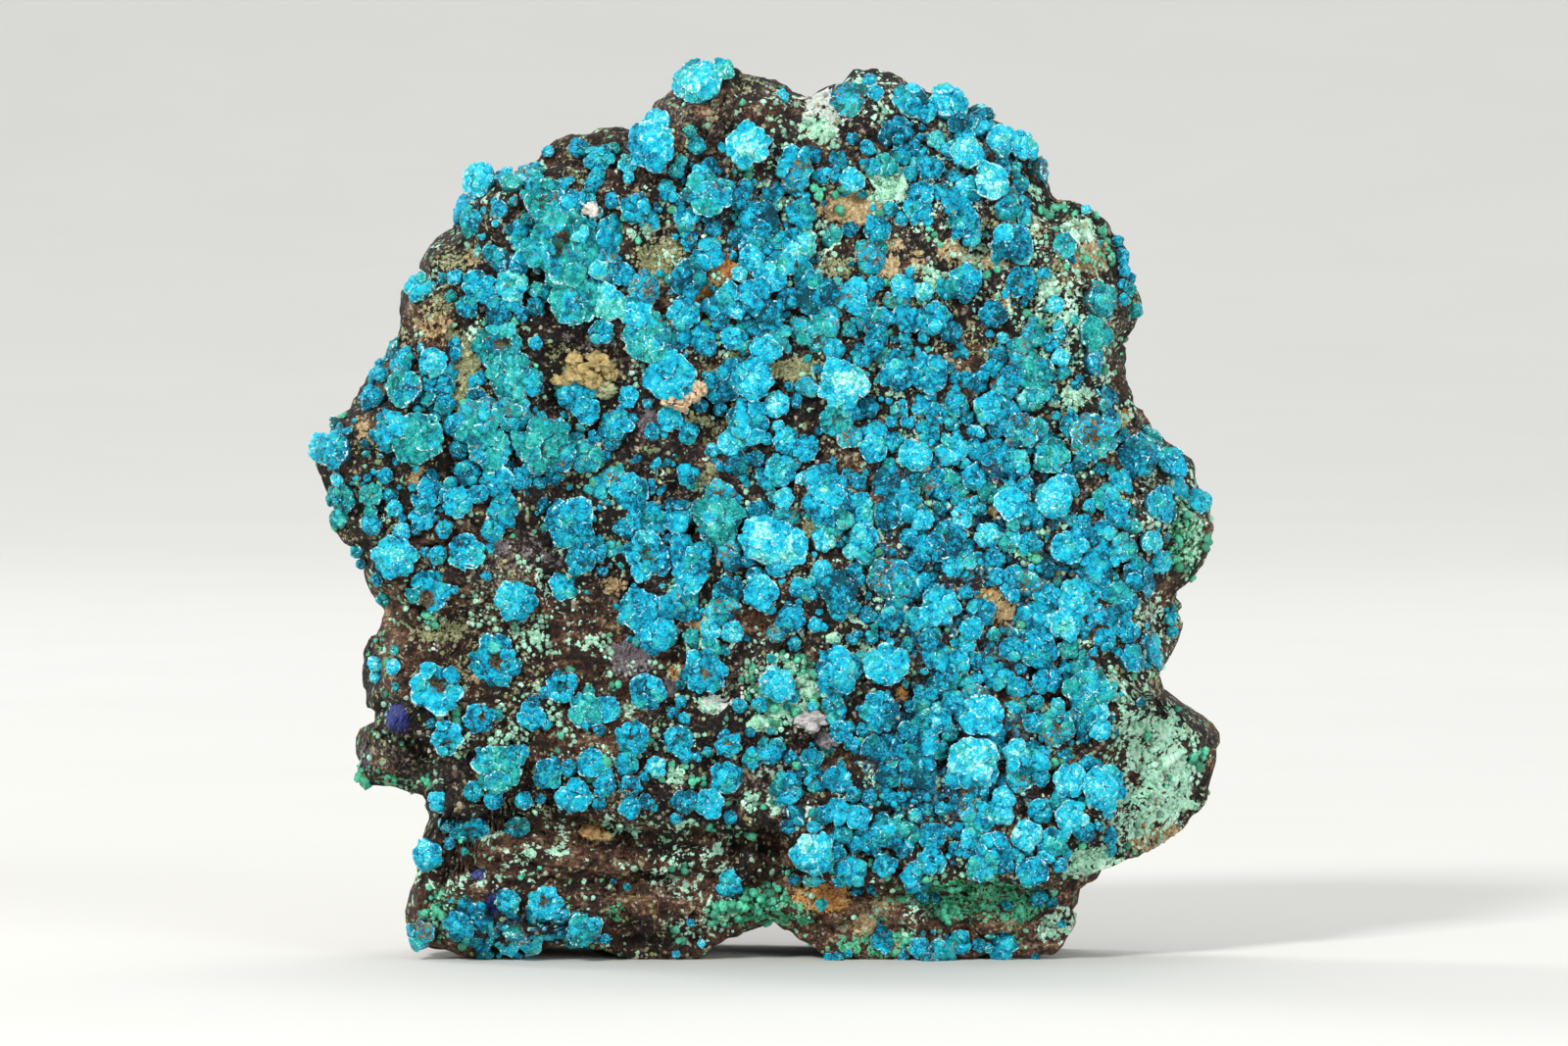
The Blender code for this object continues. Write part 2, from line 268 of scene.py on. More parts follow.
class Relief:
    """The slab's form: the outline round the hub, the stepped face and the broken back."""

    face_depth_mid: float = 8.4 * MM
    back_depth_mid: float = 9.8 * MM
    rim_roll: float = 3.6 * MM
    least_thickness: float = 4.6 * MM
    ledge_step: float = 2.7 * MM

    def __init__(self) -> None:
        """Turn the outline into a distance every quarter degree, its corners rounded over seven steps."""
        points = np.array(OUTLINE_PX, float) - HUB_PX
        radii = np.hypot(points[:, 0], points[:, 1]) * PIXEL
        directions = np.arctan2(-points[:, 1], points[:, 0])
        self.directions = np.radians(np.arange(-180.0, 180.0, 0.25))
        plain = np.interp(self.directions, directions, radii, period=2.0 * np.pi)
        self.radii = np.mean([np.roll(plain, turn) for turn in range(-3, 4)], axis=0)
        self.hub = (float(across(HUB_PX[0])), float(up(HUB_PX[1])))

    def rim_radius(self, angle: np.ndarray) -> np.ndarray:
        """The outline's distance from the hub in each direction."""
        return np.interp(angle, self.directions, self.radii, period=2.0 * np.pi)

    def rim_share(self, x: np.ndarray, z: np.ndarray) -> np.ndarray:
        """0 at the hub and 1 at the outline."""
        dx = x - self.hub[0]
        dz = z - self.hub[1]
        return np.hypot(dx, dz) / self.rim_radius(np.arctan2(dz, dx))

    def below_ledge(self, x: np.ndarray, z: np.ndarray) -> np.ndarray:
        """1 on the bare strata, 0 on the crusted face and a short slope between them."""
        ledge = np.interp(x, across([p[0] for p in LEDGE_PX]), up([p[1] for p in LEDGE_PX]))
        return 1.0 - smooth_step(z, ledge - 0.9 * MM, ledge + 0.2 * MM)

    def face_depth(self, x: np.ndarray, z: np.ndarray) -> np.ndarray:
        """How far the face stands forward of the middle plane.

        It is a gentle wave less the ledge's step and the hollows, with the foot's ridge, rolled at the rim.
        """
        depth = np.full_like(x, self.face_depth_mid)
        depth += 0.8 * MM * np.sin(x / (9.0 * MM) + 0.6) * np.sin(z / (11.0 * MM) - 0.4)
        strata = 0.28 * MM * np.sin((z + 0.05 * x) / (0.45 * MM))
        depth -= self.below_ledge(x, z) * (self.ledge_step - strata)
        for px, py, half_x, half_z, back in HOLLOWS_PX:
            depth -= back * oval(x, z, px, py, half_x, half_z)
        px, py, half_x, half_z, proud = FOOT_RIDGE_PX
        depth += proud * oval(x, z, px, py, half_x, half_z)
        foot = 1.0 - smooth_step(z, 3.0 * MM, 12.0 * MM)
        roll = smooth_step(self.rim_share(x, z), 0.86, 1.0) ** 2
        return depth - self.rim_roll * roll * (1.0 - 0.75 * foot)

    def back_depth(self, x: np.ndarray, z: np.ndarray) -> np.ndarray:
        """How far the broken back stands behind the middle plane: the lowest of a few sloping planes."""
        height = z - self.hub[1]
        planes = [
            slope_x * x + slope_z * height + share * self.back_depth_mid
            for slope_x, slope_z, share in BACK_PLANES
        ]
        steps = 0.5 * MM * np.sin(x / (4.0 * MM) + height / (7.0 * MM))
        foot = 1.0 - smooth_step(z, 3.0 * MM, 12.0 * MM)
        roll = smooth_step(self.rim_share(x, z), 0.8, 1.0) ** 2
        back = np.min(planes, axis=0) + steps - self.rim_roll * roll * (1.0 - foot)
        return np.maximum(back, self.least_thickness - self.face_depth(x, z))

    def place(self, x: np.ndarray, z: np.ndarray) -> tuple[np.ndarray, np.ndarray]:
        """The face's points over (x, z) and the outward normals there, no steeper than a limit."""
        reach = 0.35 * MM
        slope_x = (self.face_depth(x + reach, z) - self.face_depth(x - reach, z)) / (2.0 * reach)
        slope_z = (self.face_depth(x, z + reach) - self.face_depth(x, z - reach)) / (2.0 * reach)
        steepest = 1.6
        slopes = [np.clip(slope, -steepest, steepest) for slope in (slope_x, slope_z)]
        normals = np.stack((-slopes[0], -np.ones_like(x), -slopes[1]), axis=-1)
        points = np.stack((x, -self.face_depth(x, z), z), axis=-1)
        return points, unit(normals)


def oval(
    x: np.ndarray, z: np.ndarray, px: float, py: float, half_x: float, half_z: float, edge: float = 0.72
) -> np.ndarray:
    """A flat-topped oval of height 1 that falls to 0 past its edge share, at a pixel place and size."""
    reach = np.hypot((x - across(px)) / (half_x * PIXEL), (z - up(py)) / (half_z * PIXEL))
    return 1.0 - smooth_step(reach, edge, 2.0 - edge - 0.16)


class Zone(Enum):
    """What lies on the matrix. Each is one channel of the rock's attributes."""

    BROWN = "brown"
    OLIVE = "olive"
    TAN = "tan"
    ORANGE = "orange"
    MINT = "mint"
    GREEN = "green"
    WHITE = "white"
    MAUVE = "mauve"
    AZURITE = "azurite"
    BLUE = "blue"


# Where each zone lies on the face, in ovals: middle, half width and half height in pixels, and strength.
ZONES_PX = groups("""
    BROWN 560,700,100,120,0.8 425,640,52,56,0.8 842,778,34,36,0.9 990,370,24,32,0.7 1125,628,24,14,0.9
        1170,800,30,60,0.7 440,325,40,40,0.7 800,110,50,30,0.5;
    OLIVE 479,375,16,40,1.0 675,267,30,26,1.0 452,310,16,16,0.8 463,340,10,14,0.9 462,275,22,30,0.7
        728,476,12,8,1.0 715,487,10,8,1.0 827,537,10,10,1.0 815,377,40,14,1.0 750,367,14,10,1.0
        1050,230,26,20,0.7 850,268,24,14,0.8 450,645,34,16,0.8 425,700,10,30,0.7 690,250,12,16,0.8
        540,640,16,8,0.7 380,455,18,16,0.7 765,540,14,24,0.6 830,250,10,20,0.6 715,428,18,7,0.9
        1015,375,12,10,0.6 470,410,10,20,0.8 1080,300,60,50,0.55 990,350,50,22,0.6 850,275,36,14,0.7;
    TAN 870,212,38,24,1.0 905,270,16,14,0.9 970,255,16,14,0.9 627,597,16,10,0.8 710,634,13,9,1.0
        885,945,18,14,0.9 900,925,14,12,0.8 440,330,24,24,0.6 1190,858,54,18,0.78 1165,700,24,16,0.5
        1112,262,22,20,0.9 1035,700,12,16,0.7 1014,618,24,24,0.9 935,265,10,16,0.7 485,262,8,14,0.8
        732,245,8,16,0.7 430,485,16,10,0.8 370,437,10,12,0.8 1000,268,34,10,0.8 900,252,30,9,0.8
        1020,312,16,20,0.7 1012,522,7,7,0.9 985,507,14,8,0.6 486,692,8,7,0.8;
    ORANGE 738,275,17,17,1.0 720,300,18,16,1.0 692,683,10,10,0.9 920,705,10,9,0.9 605,850,15,13,0.75
        838,916,38,20,0.84 1105,268,15,11,0.9 1150,425,9,11,0.9 1175,840,12,16,0.8 1130,642,14,6,0.9
        1006,603,10,7,0.9;
    MINT 905,190,26,24,1.0 838,128,28,22,0.92 800,100,24,14,0.5 862,100,22,16,0.7 955,285,16,14,0.9
        1100,235,24,17,0.9 1067,295,20,17,0.9 1085,325,18,15,0.8 1095,405,20,15,0.9 1185,765,46,54,0.78
        1196,800,38,56,0.86 1165,830,50,44,0.70 1222,800,14,34,0.55 1115,880,34,20,0.95 1080,945,26,26,0.7
        1178,640,26,48,0.6 560,640,90,34,0.32 800,705,52,40,0.8 500,570,60,34,0.25 600,745,130,60,0.32
        1000,220,120,44,0.48 1092,330,60,90,0.58 960,600,120,60,0.38 1215,545,26,54,0.5 945,170,30,24,0.6
        990,250,40,26,0.5 548,648,12,14,0.9 600,655,26,12,0.7 535,700,8,12,0.6 655,236,14,12,0.8
        680,262,20,16,0.6 525,745,14,12,0.5 780,736,24,12,1.0 818,700,24,18,0.9 722,716,18,12,0.9
        805,640,24,12,0.8 850,650,14,9,0.8 690,790,13,11,0.9 766,815,12,11,0.9 792,818,14,14,0.8
        855,815,14,9,0.8 620,840,9,17,0.8 576,855,6,6,0.9 570,870,14,8,0.8 640,846,22,8,0.6 700,838,22,5,0.9
        745,858,5,5,1.0 731,867,8,8,0.9 600,876,9,7,0.6 635,885,14,8,0.5 1060,655,20,16,0.4 985,640,22,30,0.5
        1140,700,30,22,0.7 1150,740,26,26,0.7 1100,365,24,20,0.6 1130,385,12,14,0.7 1150,420,14,18,0.6
        785,203,14,14,0.8 940,277,16,9,0.8 455,870,14,30,0.4 500,848,16,10,0.7 540,865,14,16,0.6;
    GREEN 985,915,100,28,0.84 805,700,62,46,0.7 860,885,16,16,0.9 775,930,64,30,0.8 455,930,30,38,0.7
        1212,545,28,56,0.8 400,802,50,9,0.6 365,790,16,10,0.5 900,965,60,22,0.8 1090,240,50,40,0.4
        1160,300,20,60,0.5 630,930,13,12,0.8 740,930,30,18,0.8 810,940,26,9,0.9 1040,925,50,22,0.84
        1030,958,18,12,0.6 385,650,14,22,0.6 1035,640,20,6,0.7 960,240,20,12,0.6;
    WHITE 838,104,26,20,0.9 856,124,20,18,0.7 605,215,10,10,1.0 645,238,12,9,0.8 785,690,14,12,0.9
        830,734,20,12,0.9 730,715,18,12,0.9 800,90,22,9,0.7;
    MAUVE 643,670,28,24,1.0 663,432,15,20,1.0 683,700,15,13,0.9 510,557,14,12,0.9 1015,473,17,20,1.0
        366,776,13,16,1.0 842,752,24,14,0.9 600,345,44,24,0.6 700,520,30,30,0.5 555,560,40,30,0.6
        680,955,32,20,0.5;
    AZURITE 405,733,17,17,1.0 503,922,10,16,1.0 487,893,9,9,0.9;
    BLUE 990,560,160,190,0.9 985,162,80,60,0.8 770,225,90,60,0.8 840,320,120,70,0.6 960,770,130,110,0.9
        500,460,140,60,0.5 528,945,80,26,0.8 730,560,110,80,0.5 960,966,60,16,0.7 550,245,70,60,0.6
        430,400,50,40,0.6
""")


def zone_weight(zone: Zone, x: np.ndarray, z: np.ndarray) -> np.ndarray:
    """How strongly a zone lies on each place of the face, from 0 to 1: the strongest of its ovals there."""
    weight = np.zeros_like(x)
    for px, py, half_x, half_z, strength in ZONES_PX[zone.name]:
        weight = np.maximum(weight, strength * oval(x, z, px, py, half_x, half_z, edge=0.45))
    return weight


@dataclass
class Matrix:
    """The slab of rock: two square grids spread over the outline and a wall that joins them."""

    relief: Relief
    face_cells: int = 172
    wall_rings: int = 20
    grain: float = 0.34 * MM

    def grid(self) -> tuple[np.ndarray, np.ndarray, np.ndarray]:
        """The closed skin without its grain.

        A square is spread over the unit disc by x = u sqrt(1 - w^2/2), z = w sqrt(1 - u^2/2), and the disc is
        stretched to the outline. The wall goes from the face to the back in equal steps.

        Returns:
            The points, the quads and, for each point, how far through the slab it lies from 0 to 1.
        """
        count = self.face_cells
        steps = np.linspace(-1.0, 1.0, count)
        u, w = np.meshgrid(steps, steps, indexing="ij")
        side = np.arange(count - 1)
        last = count - 1
        loop_a = np.concatenate((side, np.full(last, last), last - side, np.zeros(last, int)))
        loop_b = np.concatenate((np.zeros(last, int), side, np.full(last, last), last - side))
        through = np.repeat(np.arange(1, self.wall_rings + 1) / (self.wall_rings + 1.0), len(loop_a))
        all_u = np.concatenate((u.ravel(), u.ravel(), np.tile(steps[loop_a], self.wall_rings)))
        all_w = np.concatenate((w.ravel(), w.ravel(), np.tile(steps[loop_b], self.wall_rings)))
        all_through = np.concatenate((np.zeros(u.size), np.ones(u.size), through))
        points = self.spread(all_u, all_w, all_through)

        index = np.arange(u.size).reshape(count, count)
        corners = (index[:-1, :-1], index[1:, :-1], index[1:, 1:], index[:-1, 1:])
        face = np.stack(corners, axis=-1).reshape(-1, 4)
        back = face[:, ::-1] + u.size
        front_loop = index[loop_a, loop_b]
        rings = 2 * u.size + np.arange(self.wall_rings * len(loop_a)).reshape(self.wall_rings, -1)
        walls = ring_quads(np.vstack((front_loop, rings, front_loop + u.size)))
        return points, np.concatenate((face, back, walls)), all_through

    def spread(self, u: np.ndarray, w: np.ndarray, through: np.ndarray) -> np.ndarray:
        """Points of the slab for places on the square and depths through it from 0 to 1."""
        disc_x = u * np.sqrt(1.0 - 0.5 * w * w)
        disc_z = w * np.sqrt(1.0 - 0.5 * u * u)
        radius = self.relief.rim_radius(np.arctan2(disc_z, disc_x)) - 0.25 * MM
        x = self.relief.hub[0] + disc_x * radius
        z = self.relief.hub[1] + disc_z * radius
        y = self.relief.back_depth(x, z) * through - self.relief.face_depth(x, z) * (1.0 - through)
        return np.stack((x, y, z), axis=-1)

    def swell(self, points: np.ndarray) -> np.ndarray:
        """How far the broken rock stands out from its plain form at each point."""
        return 0.5 * MM * layered_noise(points, 3.6 * MM, 3, 4)

    def roughened(self, points: np.ndarray, quads: np.ndarray, through: np.ndarray) -> np.ndarray:
        """The skin with its broken surface.

        Args:
            points: the plain skin.
            quads: its faces.
            through: each point's depth through the slab.

        Returns:
            Points pushed along their normals by layered noise, by broken facets, by packed grains and, on the
            strata, by noise drawn out along the beds. They are evened at the rim and behind the face, and the
            lowest are set level on the ground.
        """
        normals = self.normals(points, quads)
        x, z = points[:, 0], points[:, 2]
        front = 1.0 - smooth_step(through, 0.0, 0.4)
        push = self.swell(points)
        calm = 1.0 - 0.6 * smooth_step(self.relief.rim_share(x, z), 0.92, 1.0)
        push += calm * self.grain * (0.5 - 2.2 * np.abs(layered_noise(points, 1.3 * MM, 9, 3)))
        grains = globules(points / (0.62 * MM), 21)
        warped = points + 0.7 * MM * layered_noise(points, 3.0 * MM, 33, 2)[:, None]
        push += (1.60 - 1.30 * front) * MM * facets(warped / (5.2 * MM), 51)
        push += calm * (0.55 - 0.20 * front) * MM * facets(warped / (2.1 * MM), 57)
        crusted = np.maximum(zone_weight(Zone.MINT, x, z), zone_weight(Zone.BLUE, x, z)) * front
        push += (0.20 + 0.16 * crusted) * MM * (grains - 0.5)
        beds = layered_noise(points * np.array((0.22, 0.3, 1.0)), 0.55 * MM, 27, 3)
        strata = np.maximum(self.relief.below_ledge(x, z), 0.6 * (z < 11.0 * MM) * (through > 0.05))
        push += calm * strata * 0.75 * MM * (0.35 - np.abs(beds))
        moved = points + normals * push[:, None]
        ease = np.maximum(smooth_step(self.relief.rim_share(x, z), 0.9, 1.0), smooth_step(through, 0.0, 0.1))
        moved += 0.75 * ease[:, None] * (self.evened(moved, quads) - moved)
        moved[:, 2] = np.maximum(moved[:, 2], 0.0)
        return moved

    def evened(self, points: np.ndarray, quads: np.ndarray) -> np.ndarray:
        """Each point at the mean of the middles of its quads, which takes single spikes away."""
        middles = points[quads].mean(axis=1)
        shared = self.gathered(np.ones_like(middles), quads, len(points))
        return self.gathered(middles, quads, len(points)) / shared

    def zones(self, points: np.ndarray, through: np.ndarray) -> dict[str, np.ndarray]:
        """The rock's three attributes: zones, faded out behind the face, and how far behind it points lie."""
        x, z = points[:, 0], points[:, 2]
        front = 1.0 - smooth_step(through, 0.25, 0.75)
        weight = {zone: zone_weight(zone, x, z) * front for zone in Zone}
        weight[Zone.BROWN] = np.maximum(weight[Zone.BROWN], self.relief.below_ledge(x, z))
        behind = smooth_step(through, 0.2, 0.8)
        shares = (
            (Zone.BROWN, 1.00, 9.0, 40, -0.60),
            (Zone.OLIVE, 0.58, 8.0, 41, 0.36),
            (Zone.MAUVE, 0.52, 9.0, 42, 0.50),
            (Zone.TAN, 0.54, 7.0, 47, 0.36),
            (Zone.ORANGE, 0.52, 5.0, 48, 0.58),
            (Zone.GREEN, 0.52, 4.0, 49, 0.60),
        )
        for zone, strength, size, seed, least in shares:
            patches = smooth_step(layered_noise(points, size * MM, seed, 3), least, least + 0.70)
            weight[zone] = np.maximum(weight[zone], strength * behind * patches)
        for zone, strength, seed in ((Zone.MINT, 0.54, 43), (Zone.OLIVE, 0.52, 44), (Zone.BROWN, 0.7, 46)):
            scattered = smooth_step(layered_noise(points, 3.2 * MM, seed, 3), 0.15, 0.60)
            weight[zone] = np.maximum(weight[zone], strength * scattered * front)
        edge = smooth_step(self.relief.rim_share(x, z), 0.8, 1.0) * smooth_step(through, 0.02, 0.2)
        weight[Zone.GREEN] = np.maximum(weight[Zone.GREEN], 0.45 * edge)
        weight[Zone.BLUE] = np.maximum(weight[Zone.BLUE], 0.30 * edge * (1.0 - behind))
        channels = {
            "zones_a": [weight[zone] for zone in (Zone.BROWN, Zone.OLIVE, Zone.TAN, Zone.ORANGE)],
            "zones_b": [weight[zone] for zone in (Zone.MINT, Zone.GREEN, Zone.WHITE, Zone.MAUVE)],
            "zones_c": [weight[Zone.AZURITE], weight[Zone.BLUE], behind, np.ones_like(x)],
        }
        return {name: np.stack(values, axis=-1) for name, values in channels.items()}

    def normals(self, points: np.ndarray, quads: np.ndarray) -> np.ndarray:
        """The outward normal at each point: the sum of its quads' crossed diagonals, at length one."""
        corners = points[quads]
        crossed = np.cross(corners[:, 2] - corners[:, 0], corners[:, 3] - corners[:, 1])
        return unit(self.gathered(crossed, quads, len(points)))

    @staticmethod
    def gathered(values: np.ndarray, quads: np.ndarray, count: int) -> np.ndarray:
        """The sum at each of count points of the values of the quads round it."""
        total = np.zeros((count, values.shape[-1]))
        for corner in quads.T:
            np.add.at(total, corner, values)
        return total

    def build(self, finish: bpy.types.Material) -> Sown:
        """Make the rock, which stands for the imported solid.

        Args:
            finish: the rock's material.

        Returns:
            The face's points and normals, on which the small things are sown.
        """
        points, quads, through = self.grid()
        points = self.roughened(points, quads, through)
        piece = new_piece("matrix", points, [quads], self.zones(points, through), finish)
        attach(piece, "root")
        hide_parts("specimen")
        front = (through < 0.2) & (self.relief.rim_share(points[:, 0], points[:, 2]) < 1.01)
        return Sown(points[front], self.normals(points, quads)[front])


class Tint(Enum):
    """A rosette's colour: how pale it is, how green and how much brown shows, each from 0 to 1."""

    DEEP = (0.25, 0.08, 0.14)
    MID = (0.42, 0.10, 0.08)
    BRIGHT = (0.60, 0.05, 0.04)
    PALE = (0.78, 0.12, 0.02)
    TEAL = (0.42, 0.46, 0.34)
    PALE_TEAL = (0.66, 0.36, 0.10)
    MOTTLED = (0.42, 0.30, 0.62)


@dataclass(frozen=True)
class Tier:
    """One round of plates that grow on a rosette, in shares of its radius.

    Attributes:
        count: how many plates stand in the round.
        reach: how far their middles lie from the rosette's middle, least and most.
        size: their radii, least and most.
        lean: how far they lean outwards, in radians.
        plate: the habit of each.
        paler: how much paler they are than the rosette.
        arc: how much of the full turn they fill.
    """

    count: int
    reach: tuple[float, float]
    size: tuple[float, float]
    lean: float
    plate: "Habit"
    paler: float = 0.0
    arc: float = 1.0


@dataclass(frozen=True)
class Habit:
    """How a rosette grows, in shares of its radius.

    Attributes:
        crown: height of the crown above the rim.
        hollow: depth of the hollow.
        hollow_width: half width of the hollow.
        stand: how far the whole stands off the rock.
        thick: how thick its cap is.
        tiers: the rounds of plates on it.
    """

    crown: float
    hollow: float
    hollow_width: float
    stand: float
    thick: float
    tiers: tuple[Tier, ...] = ()


KNOB = Habit(0.22, 0.10, 0.30, 0.12, 0.46)
LEAF = Habit(0.08, 0.12, 0.45, 0.18, 0.30)


class Kind(Enum):
    """The habits seen on the face."""

    HEAD = Habit(0.24, 0.00, 0.30, 0.28, 0.42, (
        Tier(7, (0.56, 0.74), (0.34, 0.50), 0.42, LEAF, -0.05),
        Tier(4, (0.22, 0.42), (0.28, 0.46), 0.22, KNOB, 0.16),
    ))
    DISC = Habit(0.08, 0.05, 0.55, 0.34, 0.32, (
        Tier(5, (0.46, 0.64), (0.42, 0.58), 0.20, LEAF, 0.02),
        Tier(3, (0.12, 0.34), (0.30, 0.48), 0.12, LEAF, 0.10),
    ))
    RING = Habit(0.08, 0.40, 0.40, 0.24, 0.40, (
        Tier(8, (0.66, 0.82), (0.28, 0.40), 0.45, LEAF, 0.00),
        Tier(5, (0.42, 0.56), (0.18, 0.30), 0.10, KNOB, 0.14),
    ))
    CRESCENT = Habit(0.10, 0.45, 0.55, 0.22, 0.40, (
        Tier(6, (0.60, 0.80), (0.30, 0.44), 0.45, LEAF, 0.02, 0.66),
        Tier(4, (0.42, 0.56), (0.20, 0.32), 0.15, KNOB, 0.16, 0.55),
    ))
    TUFT = Habit(0.36, 0.00, 0.30, 0.34, 0.46, (
        Tier(7, (0.55, 0.76), (0.26, 0.40), 0.60, KNOB, -0.02),
        Tier(5, (0.20, 0.44), (0.20, 0.34), 0.30, KNOB, 0.06),
    ))
    DOME = Habit(0.44, 0.00, 0.30, 0.16, 0.40, (Tier(4, (0.40, 0.60), (0.40, 0.54), 0.50, KNOB, 0.05),))
    THIN = Habit(0.08, 0.10, 0.50, 0.02, 0.24, (Tier(5, (0.36, 0.68), (0.28, 0.46), 0.15, LEAF, 0.03),))
    LUMP = Habit(0.26, 0.00, 0.30, -0.05, 0.40, (Tier(3, (0.36, 0.70), (0.40, 0.66), 0.40, KNOB, 0.08),))
    BALL = Habit(0.46, 0.00, 0.30, 0.10, 0.46)


Odds = dict[Tint, float]

